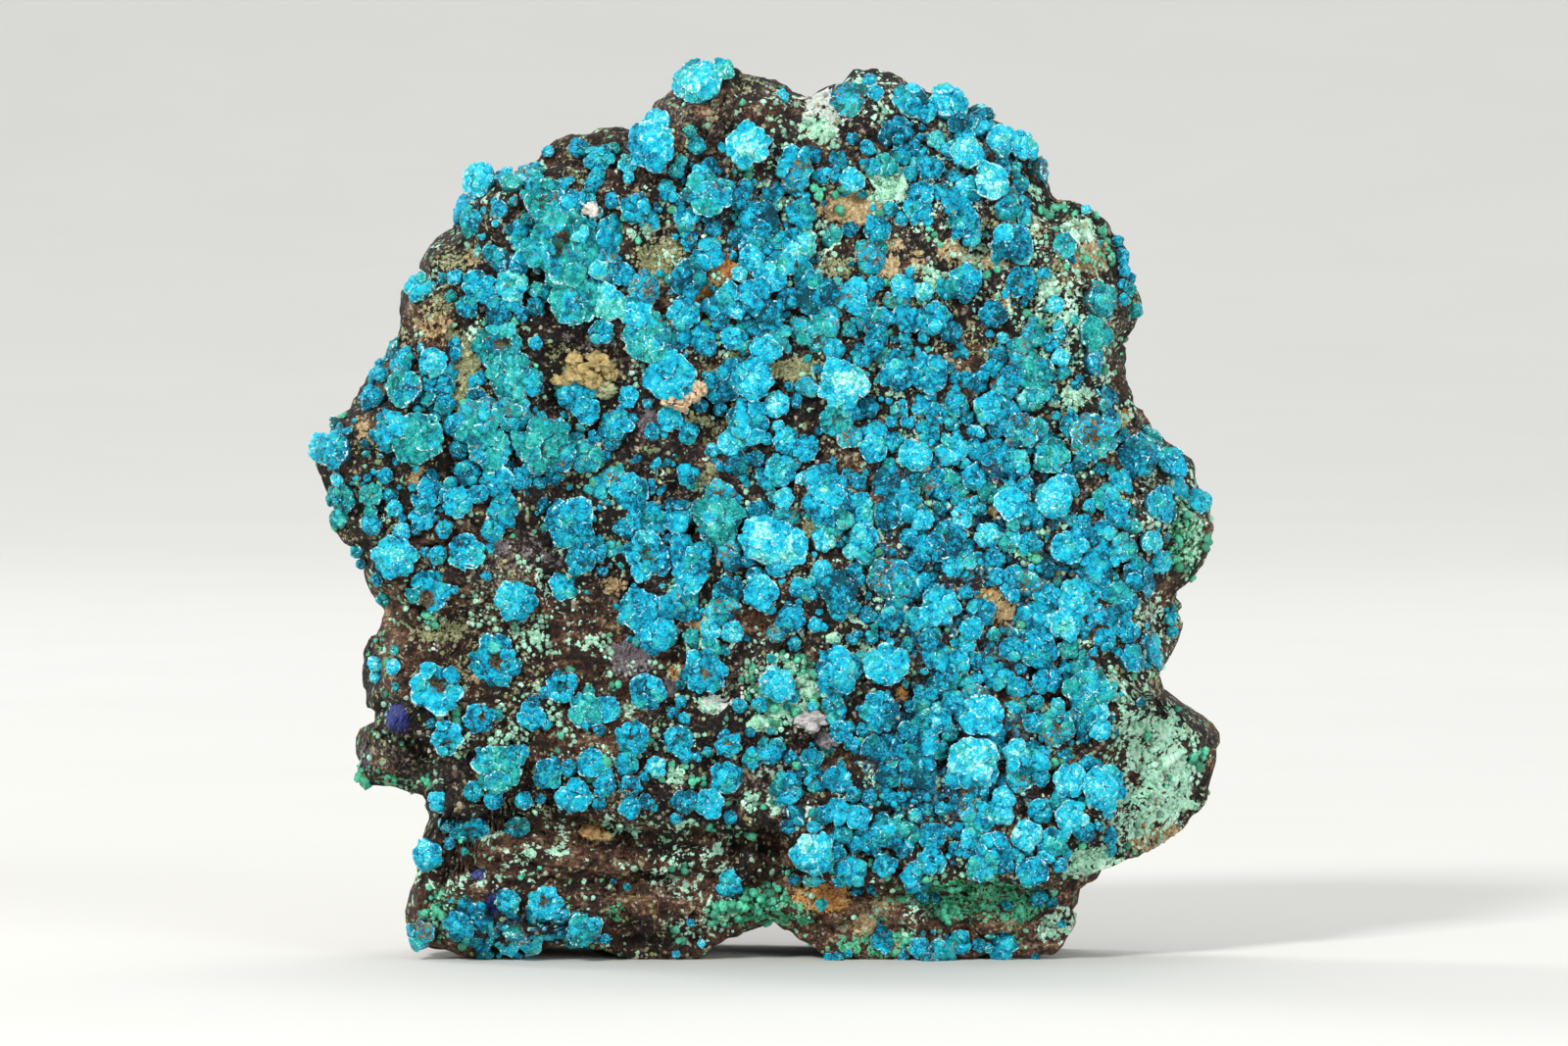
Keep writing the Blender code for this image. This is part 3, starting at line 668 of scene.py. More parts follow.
# Rosettes by district, each group named by its habit and tint: x, y and radius in pixels.
DISTRICTS = {
    "crown_left": groups("""
        TUFT.PALE 497,190,20 567,277,9 702,225,8 800,97,8 715,177,10 520,185,8 642,181,7;
        TUFT.BRIGHT 548,175,9 562,160,7;
        TUFT.PALE_TEAL 546,194,9;
        DOME.MID 515,216,9 575,190,9 610,180,10 690,175,9 680,191,9 647,213,17 625,205,9 664,222,9 712,150,10
            695,165,7;
        DOME.DEEP 592,153,12 605,190,9 753,203,12 695,205,10 728,234,10 672,212,6 522,234,6 752,243,11;
        HEAD.TEAL 488,226,16;
        HEAD.MID 612,160,17 600,232,12 618,250,12 570,233,10;
        HEAD.PALE_TEAL 716,91,27 736,79,13;
        HEAD.BRIGHT 672,157,27;
        HEAD.PALE 762,150,23;
        DISC.BRIGHT 677,130,17;
        DISC.TEAL 722,200,25;
        RING.BRIGHT 641,168,11;
        RING.DEEP 703,245,9;
        RING.TEAL 558,206,22 575,251,38;
        THIN.DEEP 505,258,10 790,195,12 810,190,12;
        DOME.TEAL 625,150,9 540,225,8 705,135,8
    """),
    "crown_right": groups("""
        HEAD.PALE_TEAL 815,250,19;
        HEAD.MOTTLED 868,110,20;
        HEAD.PALE 1012,187,19;
        HEAD.MID 985,227,16 1145,262,9 1147,276,8;
        DOME.MID 895,235,16 927,108,20 890,170,10 945,118,12 949,172,14 958,196,10 1032,248,23 885,152,9
            928,178,8 972,180,8 1047,204,8 908,214,9 920,224,8 946,226,7 852,180,8 975,240,6 1141,247,7;
        DOME.DEEP 915,135,16 930,150,10 775,225,22 975,128,13 1040,190,11 912,160,8 870,143,7 866,234,9;
        DOME.BRIGHT 965,112,23;
        DOME.TEAL 1003,125,9 1027,213,15 1037,170,7 880,252,8 900,253,7;
        TUFT.PALE 870,185,14 1020,144,18 1040,152,17 985,158,18 983,192,10 992,124,8 1106,217,6;
        TUFT.BRIGHT 892,103,10 887,89,8 966,154,8;
        TUFT.PALE_TEAL 955,143,10 990,243,11;
        DISC.MID 940,197,13 935,213,15;
        THIN.DEEP 830,158,10 855,165,12;
        THIN.MOTTLED 1085,250,14;
        BALL.DEEP 840,208,4;
        BALL.MID 1119,250,4
    """),
    "left": groups("""
        DOME.PALE_TEAL 430,296,17;
        TUFT.BRIGHT 472,285,9;
        TUFT.PALE_TEAL 525,365,9;
        TUFT.PALE 337,458,17 403,553,9 412,542,10 350,487,8;
        HEAD.MID 490,293,18 478,313,12 415,370,15 543,388,14 525,395,10 520,427,14 532,488,13 595,567,17
            352,461,20;
        HEAD.TEAL 520,380,24 560,454,31;
        HEAD.BRIGHT 445,368,16 405,565,23 525,610,22;
        RING.PALE_TEAL 523,292,17;
        RING.TEAL 512,352,26 355,505,15 378,505,13;
        DOME.DEEP 510,322,13 548,312,10 452,392,14 455,412,12 470,458,11 478,482,15 400,505,9 534,320,9
            502,315,7 526,446,8 520,475,7 375,487,5;
        DOME.BRIGHT 548,350,8 393,385,9 468,512,17;
        DOME.MID 383,410,15 440,395,9 463,432,13 475,432,9 605,400,9 550,478,8 378,537,12 455,538,10
            448,565,11 503,540,13 452,600,5 467,597,5 455,284,7 492,386,8 536,419,7 553,425,7 565,486,9
            552,492,7 490,503,11 340,510,8 435,562,6 501,558,6 497,584,6 388,589,8;
        DOME.TEAL 375,523,9 350,528,12 548,295,9 460,300,8 425,538,7 367,560,8 368,576,6 389,613,9;
        DISC.TEAL 588,307,27 418,395,21 500,455,24 427,447,29;
        DISC.MID 598,418,16 502,490,12 434,512,15 434,526,14 478,560,20 583,532,28;
        DISC.BRIGHT 404,518,9;
        CRESCENT.MID 440,603,22;
        THIN.MID 577,594,18;
        THIN.DEEP 488,407,13
    """),
    "middle": groups("""
        DISC.MID 637,280,13 748,305,20 877,514,14 877,527,14 705,584,21 655,617,23;
        DISC.PALE_TEAL 622,308,20;
        DISC.BRIGHT 648,318,18 787,283,18 872,295,13 872,311,13 783,357,16 688,385,28 644,405,12 683,425,14
            777,603,20 890,458,15 922,292,14;
        DISC.TEAL 662,347,27;
        DISC.MOTTLED 906,588,23;
        DOME.MID 615,335,14 893,290,10 893,345,14 925,325,16 905,325,10 703,441,12 646,426,6 695,432,8
            948,382,22 857,492,9 875,490,10 912,450,12 948,558,18 612,566,8 617,581,6 608,446,9 661,411,6
            806,394,6 716,338,11 735,326,11 888,314,8 886,298,8 922,345,8 783,447,7 645,524,9 634,537,8
            690,536,9 641,560,7 925,430,8 908,430,7 928,548,11 905,632,12 885,625,10 870,618,8 868,548,8
            872,580,9 878,590,7 829,604,7 888,648,8;
        DOME.TEAL 680,345,13 865,335,9 637,630,8 706,648,9;
        DOME.DEEP 702,283,21 832,300,24 805,305,13 885,415,12 752,473,14 747,570,13 742,600,17 618,464,7
            680,471,6 650,466,5 760,327,9 716,414,8 735,417,8 811,410,7 685,515,8 884,358,7 925,356,7;
        DOME.BRIGHT 668,470,8 728,459,9 795,574,15 655,581,12 832,635,9;
        HEAD.MOTTLED 657,292,17 793,643,10;
        HEAD.DEEP 785,322,17 855,603,21;
        HEAD.MID 748,345,14 762,428,24 915,378,20 632,435,18 643,500,20 802,450,14 822,458,14 798,480,17
            808,628,16 843,512,24;
        HEAD.TEAL 733,527,28;
        HEAD.BRIGHT 768,390,22 882,545,15;
        HEAD.PALE 752,315,12 792,412,15 858,390,26 780,551,26 802,554,24;
        TUFT.BRIGHT 698,318,18 770,586,10;
        TUFT.PALE 765,262,14 755,280,9 745,451,15 800,508,12 932,463,18 940,530,12 838,579,11 747,642,13
            727,640,12 841,548,13 870,562,10 795,434,7 818,487,8 787,501,6;
        RING.MOTTLED 833,345,14;
        RING.TEAL 853,428,18;
        RING.DEEP 772,467,9 908,522,16;
        RING.MID 663,562,23;
        THIN.MOTTLED 908,306,9;
        THIN.DEEP 735,395,20 905,492,18 700,620,14;
        THIN.MID 662,530,22;
        BALL.DEEP 868,268,5 884,267,5
    """),
    "right": groups("""
        DOME.MID 985,287,19 983,302,8 952,325,19 955,422,12 1018,435,12 1092,435,14 1127,432,13 1032,383,13
            1070,350,10 983,360,6 991,457,11 992,486,14 1035,472,17 1045,493,9 1083,526,6 1092,530,7
            1110,515,8 1013,567,12 1016,586,10 1031,586,12 998,568,8 1050,552,13 1114,545,8 1122,565,10
            1137,524,14 935,630,14 1068,608,16 1016,264,7 942,344,7 974,385,7 1064,279,7 942,436,9 985,425,8
            1015,453,9 955,485,10 960,500,11 975,506,8 1030,496,8 1057,530,9 1106,530,8 1142,306,7 1143,290,6
            1165,448,8 1090,478,7 942,590,9 985,560,8 985,603,8 1104,640,8 1155,613,8 1148,626,6 1196,646,7;
        DOME.DEEP 1013,320,16 970,340,13 1018,365,13 1065,578,11 1103,580,9 1155,583,18 1154,467,23
            935,488,10 1003,491,7 1100,472,9 1096,393,6 1157,283,6 958,518,8 999,518,8 950,470,7 1120,478,8
            932,572,10 1172,594,7 950,600,8;
        DOME.TEAL 1107,340,20 975,412,14 1052,342,14 980,499,8 1083,380,8 1127,320,7 1040,352,9 1150,296,9
            1154,316,9 1012,645,8 1112,604,8;
        DOME.BRIGHT 1225,516,14 1206,492,8 1194,632,8;
        TUFT.PALE 942,297,11 1075,312,10 1080,365,10 1075,508,21 1145,515,7 1005,545,14 1036,550,8
            1165,549,13 1180,572,13 1093,608,20 1072,628,13 935,417,7 1022,345,7 1108,618,8;
        TUFT.BRIGHT 1008,415,18;
        RING.DEEP 1042,290,17 965,550,20;
        RING.MOTTLED 1112,445,25;
        RING.PALE 980,528,12;
        RING.TEAL 1131,590,10;
        HEAD.TEAL 1108,307,19;
        HEAD.BRIGHT 970,458,17 957,617,22;
        DISC.TEAL 1055,378,21 1073,463,19;
        DISC.MID 1060,400,15 1177,515,21 1193,476,19;
        DISC.MOTTLED 1040,440,20;
        DISC.BRIGHT 1030,513,18 971,575,13 1088,556,20;
        THIN.TEAL 1140,607,17;
        BALL.DEEP 1093,265,5;
        HEAD.MOTTLED 950,490,12
    """),
    "lower_left": groups("""
        RING.MID 507,672,27 618,800,12 478,843,21 720,683,24 648,750,18 645,800,12 692,752,16 744,756,14
            803,801,18 828,800,13;
        CRESCENT.BRIGHT 446,702,27;
        CRESCENT.MID 457,752,18 490,731,17 573,697,18;
        TUFT.PALE 382,678,9 405,682,9 455,842,9 670,781,12 792,695,20 715,963,5 828,866,24 829,719,6
            379,692,7;
        TUFT.BRIGHT 440,871,18 585,950,8 607,938,9 618,953,7 588,931,5;
        DISC.MID 542,730,15 620,722,14 605,777,16;
        DISC.TEAL 598,724,19 506,782,26;
        DISC.DEEP 698,815,13;
        DISC.BRIGHT 725,817,17;
        DOME.DEEP 545,716,8 660,815,9 804,842,9 740,662,6 685,725,7 695,697,6 766,745,6 613,743,7 441,737,6
            613,818,8 815,786,8 810,898,7 626,902,4 640,910,5;
        DOME.MID 528,768,13 484,805,12 504,813,11 535,815,10 552,813,6 581,782,10 662,703,20 641,777,13
            700,768,9 745,832,8 690,832,7 768,772,12 755,718,9 842,827,12 690,973,5 705,942,5 811,655,8
            695,714,7 698,731,7 808,709,8 806,770,8 712,770,6 722,765,6 557,738,7 556,704,7 621,788,8
            657,791,7 460,862,7 500,958,6 522,931,6;
        DOME.BRIGHT 588,811,19 453,818,14 643,822,12 776,716,9 831,840,8;
        HEAD.MID 560,788,16 672,645,22 742,792,17 785,762,15 520,917,14 470,940,17;
        HEAD.BRIGHT 745,903,14;
        THIN.MID 505,951,7;
        THIN.MOTTLED 596,945,20;
        RING.BRIGHT 556,919,18;
        THIN.PALE_TEAL 560,957,9 541,964,14 830,895,12;
        THIN.PALE 519,965,13;
        RING.TEAL 527,842,14;
        DOME.TEAL 602,704,7 508,728,7 404,663,6 407,699,5 668,822,5 474,869,5;
        THIN.TEAL 838,924,8
    """),
    "lower_right": groups("""
        HEAD.MID 853,680,24 1058,660,20 905,845,18 1073,855,17;
        HEAD.PALE 992,773,28;
        HEAD.BRIGHT 1122,800,25;
        RING.MID 858,742,13 915,757,7;
        RING.MOTTLED 1077,740,20;
        RING.PALE 918,837,9;
        DISC.BRIGHT 902,677,23 1003,728,24 876,832,14;
        DISC.MID 895,722,21 903,880,13 1053,886,18;
        DISC.TEAL 1110,703,25 1000,883,16;
        DISC.PALE 990,853,12;
        DOME.DEEP 890,760,14 905,790,14 930,790,14 940,735,12 925,770,18 940,785,18 1060,915,10 1160,711,6
            928,718,7 1105,748,9 937,808,7 974,812,7 1024,884,5 954,918,6 1027,925,6 1073,922,7 1000,967,8
            895,868,6;
        DOME.MID 866,670,8 850,715,12 870,650,7 900,733,6 870,755,9 946,650,12 985,655,11 995,672,9
            1032,660,14 1066,692,16 1015,688,15 966,690,15 973,713,14 1053,735,13 1060,790,10 1125,650,13
            1148,643,12 975,790,14 859,848,11 870,808,9 890,903,6 875,908,7 950,850,15 1013,860,19
            1005,825,12 1060,825,14 1080,815,12 1105,845,12 1120,840,6 1133,846,6 1134,857,9 978,963,14
            855,976,7 1085,945,5 1058,978,5 1040,680,7 1085,680,7 1057,715,9 985,696,9 996,690,8 938,703,8
            950,706,8 925,742,11 865,740,8 880,742,8 1062,766,9 1085,768,8 1108,776,9 905,808,9 887,810,9
            918,810,7 1000,803,9 984,815,6 960,822,8 966,846,6 988,837,6 1033,868,8 1078,877,9 856,895,8
            942,918,7 872,863,7 1127,828,7 845,975,5 866,973,5 922,976,6 1010,970,6;
        DOME.BRIGHT 991,638,13 950,875,16 1065,870,10;
        DOME.TEAL 1088,660,12 1104,668,8 925,655,8 968,745,10 945,822,7;
        TUFT.PALE 1085,635,18 1121,724,12 1121,744,12 1035,762,14 1090,793,19 1003,725,10 1023,812,13
            1023,829,13 1045,848,17 1090,830,18 1078,717,8 956,720,7 957,966,8;
        THIN.MOTTLED 1040,790,17;
        THIN.MID 1135,870,8;
        TUFT.BRIGHT 940,968,12;
        TUFT.PALE_TEAL 933,828,8
    """),
}


Built = tuple[np.ndarray, list[np.ndarray], dict[str, np.ndarray]]

# How finely a cap is cut, by its least radius in pixels: points round it, rings over its top, rings down it.
CUTS = {
    20.0: (34, 8, 3),
    13.0: (24, 6, 3),
    7.5: (17, 4, 2),
    4.5: (12, 3, 2),
    2.8: (9, 2, 1),
    1.2: (7, 2, 1),
    0.0: (5, 1, 1),
}


@dataclass
class Caps:
    """Closed caps of one habit, each a top, a rim that overhangs and a foot sunk in what it grows on."""

    habit: Habit
    centres: np.ndarray
    outs: np.ndarray
    radii: np.ndarray
    tints: np.ndarray
    seed: int
    ragged: float = 1.0
    fineness: float = 1.0
    chances: np.ndarray = field(init=False)
    firsts: np.ndarray = field(init=False)
    seconds: np.ndarray = field(init=False)

    def __post_init__(self) -> None:
        """Draw each cap's own chances and the two directions across it."""
        self.chances = np.random.default_rng(self.seed).random((len(self.radii), 16))
        turn = 2.0 * np.pi * self.chances[:, 3:4]
        side = unit(np.cross(np.array((0.03, 0.02, 1.0)), self.outs))
        other = np.cross(self.outs, side)
        self.firsts = side * np.cos(turn) + other * np.sin(turn)
        self.seconds = other * np.cos(turn) - side * np.sin(turn)

    def outline(self, angle: np.ndarray) -> np.ndarray:
        """Each cap's reach by angle: 1 plus cosines of 2 to 7 turns, scalloped by a round of lobes."""
        chances = self.chances.T[:, :, None, None]
        reach = np.full((len(self.radii), 1, len(angle)), 0.96)
        for turns in range(2, 8):
            size = 0.13 / math.sqrt(turns) * (2.0 * chances[turns + 2] - 1.0)
            phase = 2.0 * np.pi * chances[turns + 6]
            reach = reach + self.ragged * size * np.cos(turns * angle + phase)
        lobes = np.floor(4.0 + 4.0 * chances[4])
        scallops = np.abs(np.cos(0.5 * lobes * angle + 6.28 * chances[5]))
        return reach + self.ragged * 0.11 * (scallops - 0.62)

    def top_height(self, share: np.ndarray) -> np.ndarray:
        """Height of the top above the rock, in shares of the radius, without its hollow."""
        habit = self.habit
        crown = habit.crown * (1.0 - np.clip(share, 0.0, 1.0) ** 2) ** 0.85
        return habit.stand + habit.thick * (1.0 - 0.38 * share**6) + crown

    def plates(self, tier: Tier, seed: int) -> "Caps":
        """The plates of one round, each a cap that sits on this one's top."""
        draw = np.random.default_rng(seed)
        shape = (len(self.radii), tier.count)
        slots = np.arange(tier.count) / tier.count
        angle = 2.0 * np.pi * (tier.arc * slots + draw.random((shape[0], 1)))
        angle = angle + draw.uniform(-0.34, 0.34, shape) * 2.0 * np.pi * tier.arc / tier.count
        reach = draw.uniform(*tier.reach, shape)
        size = draw.uniform(*tier.size, shape) * np.where(draw.random(shape) < 0.25, 0.72, 1.0)
        away = np.cos(angle)[..., None] * self.firsts[:, None, :]
        away = away + np.sin(angle)[..., None] * self.seconds[:, None, :]
        lift = self.top_height(reach) - 0.42 * size
        lift = lift - self.habit.hollow * (reach < self.habit.hollow_width + 0.1) * 0.5
        outs = self.outs[:, None, :] + (tier.lean + draw.uniform(-0.2, 0.2, shape))[..., None] * away
        outs = outs + draw.uniform(-0.16, 0.16, (*shape, 3))
        local = reach[..., None] * away + lift[..., None] * self.outs[:, None, :]
        tints = np.repeat(self.tints[:, None, :], tier.count, axis=1) + draw.normal(0.0, 0.10, (*shape, 3))
        tints[..., 0] += tier.paler
        return Caps(
            habit=tier.plate,
            centres=(self.centres[:, None, :] + self.radii[:, None, None] * local).reshape(-1, 3),
            outs=unit(outs.reshape(-1, 3)),
            radii=(self.radii[:, None] * size).ravel(),
            tints=np.clip(tints, 0.0, 1.0).reshape(-1, 3),
            seed=seed + 1,
            ragged=1.15,
            fineness=self.fineness,
        )

    def build(self) -> list[Built]:
        """The caps in as many sets as their sizes need, each cut as finely as its size asks."""
        radii_px = self.fineness * self.radii / PIXEL
        sets = []
        above = math.inf
        for least, cut in CUTS.items():
            chosen = np.flatnonzero((radii_px >= least) & (radii_px < above))
            above = least
            if len(chosen):
                sets.append(self.shaped(chosen, cut))
        return sets

    def shaped(self, chosen: np.ndarray, cut: tuple[int, int, int]) -> Built:
        """The chosen caps' points, faces and attributes.

        The top runs out to the rim as the sine of equal steps. Its height is the stand, the thickness and
        the crown, less the hollow, with soft noise. Below the rim the side turns under to a foot. A point
        that would lie below the ground is set on it.

        Args:
            chosen: the numbers of the caps.
            cut: points round each cap, rings over its top and rings down it.

        Returns:
            The points, the faces and the two attributes of the blue finish.
        """
        around, over, down = cut
        habit = self.habit
        chances = self.chances[chosen].T[:, :, None, None]
        paleness, greenness, dirt = self.tints[chosen].T[:, :, None, None]
        angle = 2.0 * np.pi * np.arange(around) / around
        top = np.sin(0.5 * np.pi * np.arange(1, over + 1) / over)[None, :, None]
        below = (np.arange(1, down + 1) / down)[None, :, None]
        share = np.concatenate((top, 1.0 - 0.10 * below**0.7 - 0.45 * below**2.2), axis=1)
        reach = share * self.outline(angle)[chosen]
        a = reach * np.cos(angle)
        b = reach * np.sin(angle)

        on_top = np.concatenate((np.ones(over), np.zeros(down)))[None, :, None]
        side = np.concatenate((np.zeros(over), np.arange(1, down + 1) / down))[None, :, None]
        drift = 0.14 + 0.30 * (habit.hollow_width > 0.5)
        lean = 2.0 * np.pi * chances[6]
        from_hollow = np.hypot(a - drift * np.cos(lean), b - drift * np.sin(lean))
        edges = 0.5 * habit.hollow_width, 1.4 * habit.hollow_width
        sunk = habit.hollow * (1.0 - smooth_step(from_hollow, *edges))
        offset = 40.0 * chances[7]
        lumps = smooth_noise(np.stack((3.2 * a + offset, 3.2 * b - offset), axis=-1), self.seed + 5)
        fine = smooth_noise(np.stack((7.5 * a - offset, 7.5 * b + offset), axis=-1), self.seed + 6)
        # A band along the rim. It lifts the rim a little, and the blue finish paints it pale, partly as the
        # crystals' own frost and partly as a painted highlight.
        rim = on_top * np.exp(-(((1.0 - share) / 0.13) ** 2))
        skirt = (habit.stand + 0.62 * habit.thick) * (1.0 - side**1.4) - 0.6 * side**1.4
        height = on_top * (self.top_height(share) - sunk) + (1.0 - on_top) * skirt
        height = height + (0.085 * lumps + 0.055 * fine) * (1.0 - 0.8 * side) + 0.05 * rim * (1.0 + fine)
        swell = 1.0 + share**3 * (1.0 - 0.6 * side) * (0.05 * lumps + 0.05 * fine)

        local = (
            (a * swell)[..., None] * self.firsts[chosen, None, None, :]
            + (b * swell)[..., None] * self.seconds[chosen, None, None, :]
            + (height + 0.0 * a)[..., None] * self.outs[chosen, None, None, :]
        )
        rings = self.centres[chosen, None, None, :] + self.radii[chosen, None, None, None] * local
        ends = (rings[:, :1].mean(axis=2), rings.reshape(len(chosen), -1, 3), rings[:, -1:].mean(axis=2))
        points = np.concatenate(ends, axis=1).reshape(-1, 3)
        points[:, 2] = np.maximum(points[:, 2], 0.0)

        def spread(values: np.ndarray) -> np.ndarray:
            """One value a point of every cap, with the poles taking the mean of their ring."""
            full = np.broadcast_to(values, (len(chosen), over + down, around))
            ends = (full[:, :1].mean(axis=2), full.reshape(len(chosen), -1), full[:, -1:].mean(axis=2))
            return np.concatenate(ends, axis=1).reshape(-1)

        tone = paleness + 0.16 * (chances[14] - 0.5)
        # This mask is high on the lumps' tops and low in the creases and down the sides. The blue finish uses
        # it to paint light on the tops and shade in the creases and on the sides, and to lay more of its
        # brown dirt in the low parts.
        crest_shading_and_dirt = np.clip(0.5 + 0.4 * lumps + 0.4 * fine - 0.4 * side, 0.0, 1.0)
        in_hollow = np.clip(sunk / 0.35, 0.0, 1.0)
        growth = (rim * (0.8 + 0.3 * fine), tone, greenness, crest_shading_and_dirt)
        # Brown dirt of the hollows, then how far down the side under the rim a point lies. The blue finish
        # darkens the sides by that second number as painted shade.
        dirt_and_shade = (np.maximum(dirt, in_hollow), side, chances[15], in_hollow)
        attributes = {
            "growth": np.stack([spread(values) for values in growth], axis=-1),
            "dirt_and_shade": np.stack([spread(values) for values in dirt_and_shade], axis=-1),
        }
        return points, cap_faces(len(chosen), around, over + down), attributes


def cap_faces(count: int, around: int, rings: int) -> list[np.ndarray]:
    """Quads between neighbouring rings and triangles at the two poles of each of count caps."""
    grid = 1 + np.arange(rings * around).reshape(rings, around)
    beside = np.roll(grid, -1, axis=1)
    foot = 1 + rings * around
    head_ring = np.stack((np.zeros(around, int), grid[0], beside[0]), axis=-1)
    foot_ring = np.stack((grid[-1], np.full(around, foot), beside[-1]), axis=-1)
    triangles = np.concatenate((head_ring, foot_ring))
    first = (np.arange(count) * (foot + 1))[:, None, None]
    return [(ring_quads(grid) + first).reshape(-1, 4), (triangles + first).reshape(-1, 3)]


def joined(parts: list[Built]) -> Built:
    """Several sets of points, faces and attributes as one, with the face numbers moved along."""
    starts = np.concatenate(([0], np.cumsum([len(points) for points, _, _ in parts])[:-1]))
    faces = [group + start for (_, groups, _), start in zip(parts, starts) for group in groups]
    labels = parts[0][2].keys()
    attributes = {label: np.concatenate([part[2][label] for part in parts]) for label in labels}
    return np.concatenate([points for points, _, _ in parts]), faces, attributes


@dataclass
class District:
    """The rosettes of one part of the face, joined in one piece."""

    name: str
    relief: Relief
    rock: Matrix
    seed: int

    def build(self, finish: bpy.types.Material) -> bpy.types.Object:
        """Make the rosettes habit by habit, each with its rounds of plates."""
        parts = []
        draw = np.random.default_rng(self.seed)
        for kind in Kind:
            table = np.array([
                (*place, *Tint[name.partition(".")[2]].value)
                for name, places in DISTRICTS[self.name].items()
                for place in places
                if name.startswith(kind.name + ".")
            ])
            if not len(table):
                continue
            centres, normals = self.relief.place(across(table[:, 0]), up(table[:, 1]))
            centres = centres + normals * self.rock.swell(centres)[:, None]
            caps = Caps(
                habit=kind.value,
                centres=centres,
                outs=unit(normals + np.array((0.0, -0.7, 0.0)) + draw.uniform(-0.22, 0.22, normals.shape)),
                radii=0.95 * table[:, 2] * PIXEL,
                tints=table[:, 3:6] - np.array((0.06, 0.0, 0.0)),
                seed=self.seed + len(parts),
            )
            parts += caps.build()
            for number, tier in enumerate(kind.value.tiers):
                parts += caps.plates(tier, self.seed + 900 + 10 * number + len(parts)).build()
        points, faces, attributes = joined(parts)
        piece = new_piece(f"rosettes_{self.name}", points, faces, attributes, finish)
        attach(piece, "root")
        return piece


def rosette_reach(points: np.ndarray) -> np.ndarray:
    """How far each point lies from the nearest rosette's middle, in shares of that rosette's radius."""
    reach = np.full(len(points), 9.0)
    for district in DISTRICTS.values():
        for px, py, radius in (place for places in district.values() for place in places):
            away = np.hypot(points[:, 0] - across(px), points[:, 2] - up(py))
            reach = np.minimum(reach, away / (radius * PIXEL))
    return reach


@dataclass
class Sown:
    """Where small things grow: chosen points of the rock's own surface, thinned so that they keep apart."""

    points: np.ndarray
    normals: np.ndarray

    def choose(self, chance: np.ndarray, spacing: float, seed: int) -> np.ndarray:
        """The numbers of the chosen points.

        Args:
            chance: each point's chance to hold something.
            spacing: the side of the boxes of which each holds one thing at most.
            seed: the draw.

        Returns:
            One point a box at most: the points are shuffled, those that fail their chance are dropped, and
            the first of each box is kept.
        """
        draw = np.random.default_rng(seed)
        order = draw.permutation(len(self.points))
        order = order[draw.random(len(order)) < chance[order]]
        boxes = np.floor(self.points[order] / spacing).astype(np.int64)
        _, first = np.unique(boxes, axis=0, return_index=True)
        return order[np.sort(first)]


@dataclass
class SmallGrowths:
    """The crust of small blue lumps and balls that fills the gaps between the rosettes."""

    sown: Sown
    lump_spacing: float = 2.8 * MM
    ball_spacing: float = 1.1 * MM

    def caps(self, chosen: np.ndarray, kind: Kind, sizes: tuple[float, float], odds: Odds, seed: int) -> Caps:
        """Caps at the chosen points, of sizes between two radii, with tints drawn by their odds."""
        draw = np.random.default_rng(seed)
        tints = np.array([tint.value for tint in odds])
        share = np.array(list(odds.values()))
        return Caps(
            habit=kind.value,
            centres=self.sown.points[chosen],
            outs=unit(self.sown.normals[chosen] + draw.uniform(-0.3, 0.3, (len(chosen), 3))),
            radii=draw.uniform(*sizes, len(chosen)),
            tints=tints[draw.choice(len(tints), len(chosen), p=share / share.sum())],
            seed=seed + 1,
            ragged=1.4,
            fineness=0.42,
        )

    def build(self, finish: bpy.types.Material) -> bpy.types.Object:
        """Sow lumps and balls in the blue zone, clear of the rosettes' middles and of the open crusts."""
        reach = rosette_reach(self.sown.points)
        near = 0.26 * (reach < 1.4)
        x, z = self.sown.points[:, 0], self.sown.points[:, 2]
        open_zones = (Zone.ORANGE, Zone.TAN, Zone.OLIVE, Zone.WHITE, Zone.MINT)
        crusts = np.max([zone_weight(zone, x, z) for zone in open_zones], axis=0)
        chance = zone_weight(Zone.BLUE, x, z) * (1.0 - crusts) * (reach > 0.8)
        clumps = smooth_step(layered_noise(self.sown.points, 3.0 * MM, 75, 2), -0.7, 0.1)
        odds = {Tint.DEEP: 0.22, Tint.MID: 0.42, Tint.TEAL: 0.14, Tint.MOTTLED: 0.22}
        lumps = self.sown.choose(0.5 * chance * clumps, self.lump_spacing, 71)
        large = self.caps(lumps, Kind.LUMP, (0.55 * MM, 1.20 * MM), odds, 72)
        parts = large.build() + large.plates(Kind.LUMP.value.tiers[0], 74).build()
        ball_chance = np.maximum(0.30 * chance * clumps, 0.4 * near * (chance > 0.0))
        balls = self.sown.choose(ball_chance, self.ball_spacing, 76)
        odds[Tint.BRIGHT] = 0.12
        parts += self.caps(balls, Kind.BALL, (0.16 * MM, 0.40 * MM), odds, 77).build()
        points, faces, attributes = joined(parts)
        piece = new_piece("small_growths", points, faces, attributes, finish)
        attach(piece, "root")
        return piece


